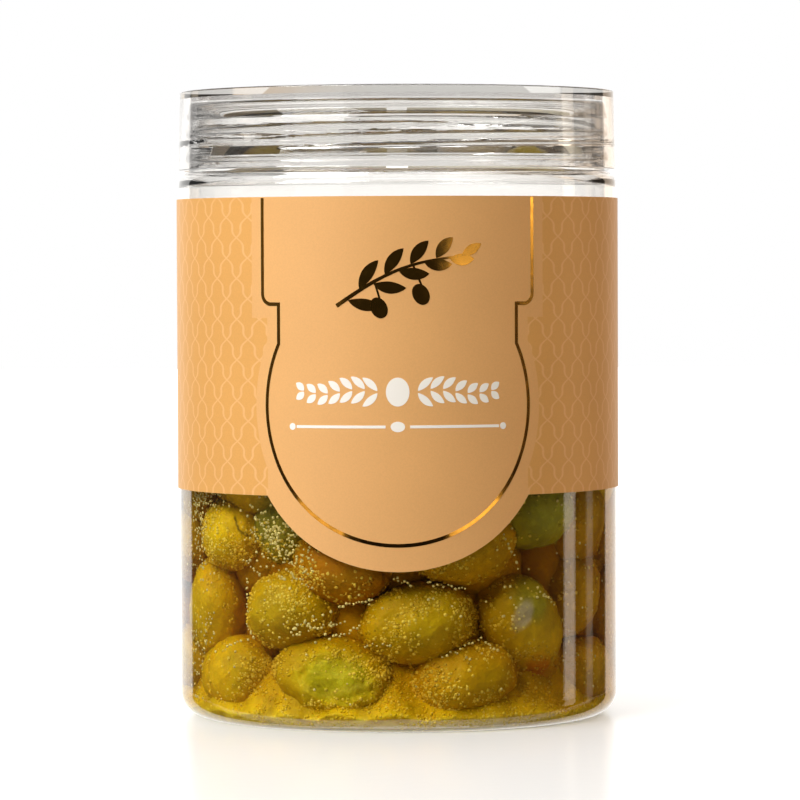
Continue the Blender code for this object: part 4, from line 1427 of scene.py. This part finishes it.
def olive_piece(name, olives, colours, rows, columns, seed):
    """All olives of a layer as one piece, with a shade stored at each point. Gives back the piece, its points
    and their shades."""
    points = cut_face(inside_jar(olive_points(olives, rows, columns, seed), 0.12 * MM))
    quads, triangles = ball_faces(rows, columns)
    shift = (np.arange(len(olives)) * points.shape[1])[:, None, None]
    quads, triangles = (quads + shift).reshape(-1, 4), (triangles + shift).reshape(-1, 3)
    piece = piece_from_faces(name, points.reshape(-1, 3), quads, triangles)
    shades = spotted(points.reshape(-1, 3), np.repeat(colours, points.shape[1], axis=0))
    paint(piece, "skin", shades)
    print("%s: %d faces" % (name, len(piece.data.polygons)))
    return piece, points, shades


front, front_points, front_skin = olive_piece("olives_front", shown_olives, np.array(SHOWN_SHADES), 56, 80, 5)
draw = np.random.default_rng(8)
palette = np.array([YELLOW, BRIGHT, OCHRE, GREENISH])
behind_shades = palette[draw.choice(4, len(hidden_olives), p=BEHIND_CHANCES)]
# painted shade: olives above this height keep a quarter of their colour, for the shade under the label
behind_shades[hidden_olives[:, 2] > SHADE_PAINTED_ABOVE_Z] *= PAINTED_SHADE_SHARE
behind, behind_points, behind_skin = olive_piece("olives_behind", hidden_olives, behind_shades, 22, 30, 6)
dress(front, olive_skin, "olives", "olives")
dress(behind, olive_skin, "olives")

# %% [markdown]
# Between the olives one looks at more olives deeper inside. A second layer of them stands behind the gaps, all
# round the jar and up to a little above the label's lower edge.

# %% The second layer of olives
DEEP_ROWS, DEEP_PER_ROW = 5, 13
DEEP_FIRST_Z, DEEP_PITCH = 9.5, 11.5
DEEP_BACK = 7.5 * MM
DEEP_WIDTH = 14 * MM
DEEP_SHADES = ((0.52, 0.30, 0.004), (0.62, 0.40, 0.005))


def deep_places():
    """Staggered places of the second layer, in rows that are nudged and tilted by random draws."""
    draw = np.random.default_rng(61)
    for row in range(DEEP_ROWS):
        for i in range(DEEP_PER_ROW):
            angle = 360 / DEEP_PER_ROW * (i + 0.5 * (row % 2)) + draw.uniform(-5, 5)
            height = (DEEP_FIRST_Z + DEEP_PITCH * row + draw.uniform(-1.5, 1.5)) * MM
            size = draw.uniform(16.5, 19.5) * MM
            tilt, lean = draw.uniform(-80, 80), draw.uniform(-15, 15)
            yield placed_olive(angle, height, tilt, size, DEEP_WIDTH, DEEP_BACK, lean)


deep_olives = np.array(list(deep_places()))
deep_shades = np.array(DEEP_SHADES)[np.arange(len(deep_olives)) % 2]
dress(olive_piece("olives_deep", deep_olives, deep_shades, 20, 28, 62)[0], olive_skin, "olives")

# %% [markdown]
# Deeper still there is hardly any light, so one core with olive-sized swells stands in for the olives there. It
# is turned like the jar, and its colour is painted shade: two browns far darker than the olives' own, in soft
# clouds.

# %% The core
CORE_RADIUS, CORE_BOTTOM_Z, CORE_TOP_Z = 27.0 * MM, 5.4 * MM, 88.0 * MM
CORE_ROUND = 6 * MM
CORE_SWELL, CORE_SWELL_LENGTH, CORE_SWELL_INNER = 1.4 * MM, 15 * MM, 20 * MM
# painted shade: the core's two browns stand for olives that lie in the dark
CORE_PAINTED_SHADE_DARK, CORE_PAINTED_SHADE_PALE = (0.16, 0.08, 0.001), (0.34, 0.20, 0.003)


def core_finish():
    """Painted shade: two browns, far darker than the olives' own, that blend by soft noise, on a rough matt
    surface.
    """
    finish, tree = new_finish("deep_olives")
    place = add(tree, "TexCoord").outputs["Object"]
    cloud = noise(tree, place, 5 * MM, 3.0)
    colour = blend_colours(tree, between(tree, cloud, 0.4, 0.7), CORE_PAINTED_SHADE_DARK, CORE_PAINTED_SHADE_PALE)
    skin = add(tree, "BsdfPrincipled", {"Base Color": colour, "Roughness": 0.6})
    tree.links.new(relief(tree, noise(tree, place, 0.8 * MM), 0.3 * MM), skin.inputs["Normal"])
    finished(tree, skin.outputs[0])
    return finish


def core_swell(angle, radius, height):
    """Waves of an olive's size on the core's side, and none near its axis."""
    place = np.stack([radius * np.sin(angle), -radius * np.cos(angle), height + 0 * angle], -1)
    return np.where(radius > CORE_SWELL_INNER, CORE_SWELL * waves(place, CORE_SWELL_LENGTH, 21), 0)


def core_profile():
    """Level top, rounded edge, straight side and level bottom."""
    top = line((0.0, CORE_TOP_Z), (CORE_RADIUS - CORE_ROUND, CORE_TOP_Z), 4)
    round_top = arc(CORE_RADIUS - CORE_ROUND, CORE_TOP_Z - CORE_ROUND, CORE_ROUND, 90, 0, 8)[1:]
    side = line((CORE_RADIUS, CORE_TOP_Z - CORE_ROUND), (CORE_RADIUS, CORE_BOTTOM_Z), 60)[1:]
    return top + round_top + side + line((CORE_RADIUS, CORE_BOTTOM_Z), (0.0, CORE_BOTTOM_Z), 4)[1:]


dress(turned("deep_core", core_profile(), core_swell), core_finish(), "olives")

# %% [markdown]
# The brine is full of small pale grains: bits of flesh on the skins, a yellow drift of them on the floor, and
# fine bubbles along the wall. There are thousands, each a few pixels wide, so a ball of twenty faces does.

# %% A ball of twenty faces


def twenty_faces():
    """Corners and faces of a ball of twenty faces. Its corners are those of three golden rectangles at right
    angles, and its faces are all sets of three corners that are next to each other."""
    golden = (1 + math.sqrt(5)) / 2
    flat = np.array([(-1, golden, 0), (1, golden, 0), (-1, -golden, 0), (1, -golden, 0)], float)
    corners = np.concatenate([flat, np.roll(flat, 1, axis=1), np.roll(flat, 2, axis=1)])
    corners /= np.linalg.norm(corners[0])
    gaps = np.linalg.norm(corners[:, None] - corners[None], axis=-1)
    near = gaps < 1.2
    i, j, k = np.meshgrid(*[np.arange(12)] * 3, indexing="ij")
    pick = (i < j) & (j < k) & near[i, j] & near[j, k] & near[i, k] & (gaps[i, j] > 0)
    faces = np.stack([i[pick], j[pick], k[pick]], -1)
    normal = np.cross(corners[faces[:, 1]] - corners[faces[:, 0]], corners[faces[:, 2]] - corners[faces[:, 0]])
    turned_in = (normal * corners[faces].mean(1)).sum(1) < 0
    faces[turned_in] = faces[turned_in][:, ::-1]
    return corners, faces


BALL_CORNERS, BALL_FACES = twenty_faces()
print("ball: %d corners, %d faces" % (len(BALL_CORNERS), len(BALL_FACES)))

# %% [markdown]
# All grains of a kind are one mesh, so that Blender has a few large pieces and not thousands of small ones.
# Each grain's shade is stored with its points, and one finish reads it back.

# %% Many grains as one piece


def grain_piece(name, middles, radii, finish, shades):
    """One ball for each middle: the middle plus the ball's corners times the radius."""
    points = middles[:, None] + BALL_CORNERS[None] * radii[:, None, None]
    faces = (BALL_FACES[None] + 12 * np.arange(len(middles))[:, None, None]).reshape(-1, 3)
    piece = piece_from_faces(name, points.reshape(-1, 3), np.empty((0, 4), int), faces)
    paint(piece, "skin", np.repeat(shades, 12, axis=0))
    dress(piece, finish, "olives")
    print("%s: %d grains" % (name, len(middles)))
    return piece


def grain_finish():
    """The stored shade with a slow change of its brightness, on a soft matt surface."""
    finish, tree = new_finish("pale_grains")
    shade = add(tree, "Attribute", attribute_name="skin").outputs["Color"]
    place = add(tree, "TexCoord").outputs["Object"]
    tint = between(tree, noise(tree, place, 2 * MM), 0.3, 0.7, 0.9, 1.1)
    colour = add(tree, "HueSaturation", {"Color": shade, "Value": tint}).outputs[0]
    skin = add(tree, "BsdfPrincipled", {"Base Color": colour, "Roughness": 0.45, "Specular IOR Level": 0.15})
    finished(tree, skin.outputs[0])
    return finish


pale_grains = grain_finish()
print("grain finish:", pale_grains.name)

# %% [markdown]
# Grains gather where two olives touch and along their rims. These places were read from the picture. Each has
# an angle, a height in millimetres, a spread in degrees and in millimetres, and a strength.

# %% Where grains lie thick
CRUSTS = (
    (-60, 38, 5, 5, 1.0), (-49.5, 34.5, 6, 2.5, 0.9), (-40, 36, 5, 3, 0.8), (-49.5, 27, 5, 4.5, 1.0),
    (-33, 26.5, 8, 3.4, 1.3), (-22, 20.5, 6, 1.6, 0.8), (-21, 30.5, 6, 1.8, 0.9),
    (-13.5, 28.7, 4, 2.0, 0.6), (-39, 10, 5.5, 4.5, 1.2), (-17.5, 14.6, 10, 1.3, 1.0),
    (-7.5, 12, 4, 3, 0.9), (-17, 5.5, 9, 1.0, 0.9), (0.5, 22, 5.5, 4.5, 1.0), (8, 26, 6, 1.8, 0.8),
    (15, 22.5, 4, 3.5, 0.6), (8.5, 8.5, 6, 4.0, 1.2), (24, 6, 6, 2.0, 0.9), (26, 16, 5, 1.6, 0.6),
    (26, 21.5, 4.5, 3, 0.5), (37.5, 14, 6, 2, 0.5), (12, 33, 9, 2, 0.5),
)


def crust(points):
    """How thick the grains lie: the sum of bell curves round each place above, and a little everywhere."""
    turn, rise = along_wall(points)
    total = np.full(len(points), 0.05)
    for angle, height, wide, high, strength in CRUSTS:
        total += strength * np.exp(-(((turn - angle) / wide) ** 2) - ((rise - height) / high) ** 2)
    return total


print("%d places where grains lie thick" % len(CRUSTS))

# %% [markdown]
# A grain is a speck of the olive's own flesh, so it takes most of its shade from the skin under it. The grains
# are drawn from the olives' own points, on the side that faces the wall, with the chances of the crust.

# %% Grains on the olives
GRAIN_COUNTS = {"front": 8000, "behind": 2600}
GRAIN_TOP_Z = 50 * MM
GRAIN_PALE = (0.84, 0.67, 0.10)
LEAST_FACING = 1.2 * MM


def skin_grains(name, olives, all_points, skins, seed):
    """Grains on the outward side of the olives, drawn with a chance that follows the crust and slow waves. Each
    is half sunk in the skin and takes most of its shade."""
    draw = np.random.default_rng(seed)
    spots = all_points.reshape(-1, 3)
    middles = np.repeat(olives[:, :3], all_points.shape[1], axis=0)
    wall = spots[:, :2] / np.linalg.norm(spots[:, :2], axis=1, keepdims=True)
    facing = ((spots - middles)[:, :2] * wall).sum(1) > LEAST_FACING
    uneven = np.clip(0.5 + 0.5 * waves(spots, 5 * MM, 33) + 0.3 * waves(spots, 11 * MM, 32), 0, 1.5)
    thick = crust(spots) if name == "front" else 0.3
    chance = facing * (spots[:, 2] < GRAIN_TOP_Z) * (thick * (0.25 + uneven) + 1e-4)
    keep = draw.choice(len(spots), GRAIN_COUNTS[name], replace=False, p=chance / chance.sum())
    out = spots[keep] - middles[keep]
    out /= np.linalg.norm(out, axis=1, keepdims=True)
    radii = (0.17 + 0.30 * draw.uniform(0, 1, len(keep)) ** 1.8) * MM
    jitter = draw.normal(size=(len(keep), 3)) * 0.12 * MM
    skin = skins[keep] * draw.uniform(0.75, 1.10, (len(keep), 1))
    return inside_jar(spots[keep] - out * (radii * 0.15)[:, None] + jitter, 0.35 * MM), radii, skin


shade_draw = np.random.default_rng(34)
for name, olives, all_points, skins, seed in (("front", shown_olives, front_points, front_skin, 31),
                                              ("behind", hidden_olives, behind_points, behind_skin, 35)):
    middles, radii, skins = skin_grains(name, olives, all_points, skins, seed)
    pale = shade_draw.uniform(0, 1, (len(middles), 1))
    shades = skins * (1 - pale) + np.array(GRAIN_PALE) * pale
    grain_piece("grains_" + name, middles, radii, pale_grains, shades).visible_shadow = False

# %% [markdown]
# Fine bubbles cling to the wall in strings, where they rise between two olives, and in thick clusters. A string
# has the angle and height of its start and of its end, and a count. A cluster has an angle, a height, a spread
# in degrees and in millimetres, and a count.

# %% Where bubbles cling
BUBBLE_STRINGS = (
    (-23, 20.4, -14, 21.8, 11), (-18, 18.6, -10, 21.0, 11), (-15.3, 25.2, -6.6, 26.2, 11),
    (-44.7, 33.4, -38.7, 31, 7), (-43, 30, -43.3, 23.4, 9), (-43, 20.8, -41, 17.9, 7),
    (-1.1, 30.6, 3.4, 29.2, 8), (7.4, 29.7, 17.5, 28.3, 12), (28.5, 38.5, 33, 32, 9),
    (11.5, 15, 22, 18.4, 10), (23, 17.7, 26, 16, 6), (38.7, 27.7, 45, 24.3, 7), (-52, 15.5, -46, 17.5, 8),
    (-30, 32, -24, 28.5, 9), (-9, 17.2, -2, 17.6, 7),
)
BUBBLE_CLUSTERS = (
    (-65, 40, 2.8, 5.0, 120), (-61, 45, 5.0, 1.5, 60), (-34, 39, 4.0, 3.6, 190), (-27, 34, 3.5, 2.5, 60),
    (-68, 14, 2.0, 6.0, 40), (-26, 21, 4.0, 1.2, 30), (33, 24, 3.0, 2.5, 26), (-62, 18, 3.0, 2.5, 26),
)
LONE_BUBBLES = 240
BUBBLE_LOW, BUBBLE_HIGH = 5, 47


def bubble_places():
    """Angles and heights: strings that wander a little, clusters, and single bubbles all round."""
    draw = np.random.default_rng(41)
    turns, heights = [], []
    for first, low, last, high, count in BUBBLE_STRINGS:
        share = np.linspace(0, 1, count)
        turns.append(first + (last - first) * share + draw.normal(0, 0.22, count))
        heights.append(low + (high - low) * share + draw.normal(0, 0.20, count))
    for angle, height, wide, high, count in BUBBLE_CLUSTERS:
        turns.append(draw.normal(angle, wide, count))
        heights.append(draw.normal(height, high, count))
    turns.append(draw.uniform(-180, 180, LONE_BUBBLES))
    heights.append(draw.uniform(BUBBLE_LOW, BUBBLE_HIGH, LONE_BUBBLES))
    return np.concatenate(turns), np.clip(np.concatenate(heights), BUBBLE_LOW, BUBBLE_HIGH) * MM


print("bubbles at the wall:", len(bubble_places()[0]))

# %% [markdown]
# A bubble touches the wall or floats just behind it, so its distance from the wall is a random draw that is
# mostly short. A bubble is clear air, so each is a matt ball in the grains' finish whose pale yellow is a
# painted highlight, standing for the light that a bubble in yellow brine gives back.

# %% Bubbles as a piece
BUBBLE_PAINTED_HIGHLIGHT = (0.78, 0.68, 0.26)
BUBBLE_GAP, BUBBLE_FLOAT = 0.1 * MM, 0.3


def wall_bubbles():
    """Middles and radii. A middle lies inside the wall by the gap, its own radius and the random distance."""
    draw = np.random.default_rng(42)
    turns, heights = bubble_places()
    radii = draw.uniform(0.20, 0.36, len(turns)) * MM
    radius = FOOT_RADIUS - BODY_WALL - BUBBLE_GAP - radii - draw.exponential(BUBBLE_FLOAT, len(turns)) * MM
    angle = np.radians(turns)
    return np.stack([radius * np.sin(angle), -radius * np.cos(angle), heights], -1), radii


middles, radii = wall_bubbles()
# painted highlight: the bubbles' pale yellow stands for the light that they reflect
shades = np.array(BUBBLE_PAINTED_HIGHLIGHT) * shade_draw.uniform(0.7, 1.1, (len(middles), 1))
grain_piece("wall_bubbles", middles, radii, pale_grains, shades).visible_shadow = False

# %% [markdown]
# Fine bits of flesh have sunk to the floor and fill the gaps between the lowest olives. This drift is thin at
# the wall and deeper inwards, so the lowest olives stand half sunk in it. Its top follows waves of three sizes.

# %% The height of the drift
DRIFT_INNER = 28 * MM
DRIFT_SLOPE = 8 * MM
DRIFT_AT_WALL, DRIFT_DEEPER = 1.3, 10.5
DRIFT_WAVES = ((0.8, 9 * MM, 51), (0.22, 3.1 * MM, 52), (0.12, 1.3 * MM, 53))


def drift_height(radius, angle):
    """Height of the drift's top over the floor: the depth at the wall, plus what it gains inwards as a power of
    the distance from the wall, plus waves that grow inwards too."""
    place = np.stack([radius * np.sin(angle), -radius * np.cos(angle), 0 * radius], -1)
    inwards = np.clip((FOOT_RADIUS - BODY_WALL - radius) / DRIFT_SLOPE, 0, 1)
    rough = sum(height * waves(place, length, seed) for height, length, seed in DRIFT_WAVES)
    depth = DRIFT_AT_WALL + DRIFT_DEEPER * inwards ** 1.4 + rough * (0.45 + 1.2 * inwards)
    return inner_floor(radius) + np.maximum(depth, 0.25) * MM


print("drift about %.1f mm deep at the wall" % DRIFT_AT_WALL)

# %% [markdown]
# The drift is a ring. Its section is a closed loop, carried round the jar, so that it is a real solid body
# whose outer side lies close along the wall and the rounded heel.

# %% The drift as a ring
DRIFT_GAP = 0.12 * MM
DRIFT_STEPS = 720


def build_drift():
    """A ring all round. Its section runs over the top from the inside to the wall, then back down the heel and
    along the floor."""
    steps = DRIFT_STEPS
    angle = np.linspace(0, 2 * np.pi, steps, endpoint=False)
    inner = FOOT_RADIUS - BODY_WALL - DRIFT_GAP
    share = np.linspace(0, 1, 40)[:, None]
    radius = DRIFT_INNER * (1 - share) + (inner - 0.05 * MM) * share + 0 * angle
    top = drift_height(radius, angle)
    heel_room = HEEL_RADIUS - BODY_WALL - DRIFT_GAP
    heel_z = BASE_THICKNESS + HEEL_RADIUS - BODY_WALL
    dip = np.clip((heel_z - top) / heel_room, 0, 1)
    radius = np.minimum(radius, RING_OUTER + heel_room * np.sqrt(1 - dip**2))
    turn = np.arcsin(dip[-1]) + (np.pi / 2 - np.arcsin(dip[-1])) * np.linspace(0, 1, 9)[1:, None]
    under = np.array([(RING_INNER, BASE_THICKNESS), (DRIFT_INNER, inner_floor(DRIFT_INNER))])
    under_r = np.repeat(under[:, :1], steps, axis=1)
    under_z = np.repeat(under[:, 1:] + DRIFT_GAP, steps, axis=1)
    grid_r = np.concatenate([radius, RING_OUTER + heel_room * np.cos(turn), under_r])
    grid_z = np.concatenate([top, heel_z - heel_room * np.sin(turn), under_z])
    points = np.stack([grid_r * np.sin(angle), -grid_r * np.cos(angle), grid_z], -1).reshape(-1, 3)
    rows = len(grid_r)
    quads = grid_faces(rows, steps, True)
    column = np.arange(steps)
    beside = (column + 1) % steps
    seam = np.stack([(rows - 1) * steps + column, (rows - 1) * steps + beside, beside, column], -1)
    return piece_from_faces("floor_drift", points, np.concatenate([quads, seam])), points


drift, drift_points = build_drift()
print("drift: %d faces" % len(drift.data.polygons))

# %% [markdown]
# The lowest millimetres of the drift get painted light: a near-white yellow that stays bright although they lie
# in shade. Above them it has the ochre of the olives' own flesh, in soft clouds, and it takes the olives'
# finish.

# %% The shades of the drift
# painted light: the drift's lowest band is nearly white yellow, below the height in millimetres
DRIFT_PAINTED_LIGHT = (0.96, 0.77, 0.06)
DRIFT_DARK, DRIFT_LIGHT = (0.58, 0.39, 0.002), (0.74, 0.52, 0.004)
PAINTED_LIGHT_BELOW, PAINTED_LIGHT_EDGE = 2.4, 0.9


def drift_shades(points):
    """The painted light below a height in millimetres and the flesh above it, over a short wavy edge."""
    share = (points[:, 2:] / MM - PAINTED_LIGHT_BELOW) / PAINTED_LIGHT_EDGE + 0.25 * waves(points, 4 * MM, 54)[:, None]
    share = np.clip(share, 0, 1)
    cloud = np.clip(0.5 + 0.5 * waves(points, 6 * MM, 55)[:, None], 0, 1)
    flesh = np.array(DRIFT_DARK) * (1 - cloud) + np.array(DRIFT_LIGHT) * cloud
    return np.array(DRIFT_PAINTED_LIGHT) * (1 - share) + flesh * share


drift_skin = drift_shades(drift_points)
paint(drift, "skin", drift_skin)
dress(drift, olive_skin, "olives")
print("drift shades from", drift_skin.min(0).round(3), "to", drift_skin.max(0).round(3))

# %% [markdown]
# Coarser grains lie in the drift's surface near the wall, where the picture shows them one by one. They sit in
# drifts themselves, so a slow wave decides where they are thick.

# %% Grains in the drift
DRIFT_GRAINS = 9000
DRIFT_GRAIN_PALE = (0.84, 0.68, 0.10)
DRIFT_GRAIN_LOW = 1.9 * MM


def drift_grains(points, skins):
    """Grains half sunk in the drift near the wall, thicker where slow waves rise."""
    draw = np.random.default_rng(56)
    radius = np.hypot(points[:, 0], points[:, 1])
    uneven = np.clip(0.5 + 0.6 * waves(points, 5 * MM, 57), 0.05, 1.6)
    chance = (radius > RING_INNER - 1 * MM) * (points[:, 2] > DRIFT_GRAIN_LOW) * uneven
    keep = draw.choice(len(points), DRIFT_GRAINS, replace=False, p=chance / chance.sum())
    middles = inside_jar(points[keep] + draw.normal(size=(len(keep), 3)) * 0.15 * MM, 0.30 * MM)
    pale = draw.uniform(0, 1, (len(keep), 1)) ** 4
    shades = skins[keep] * (1 - pale) + np.array(DRIFT_GRAIN_PALE) * pale
    return middles, (0.15 + 0.25 * draw.uniform(0, 1, len(keep)) ** 2) * MM, shades


middles, radii, shades = drift_grains(drift_points, drift_skin)
grain_piece("drift_grains", middles, radii, pale_grains, shades).visible_shadow = False
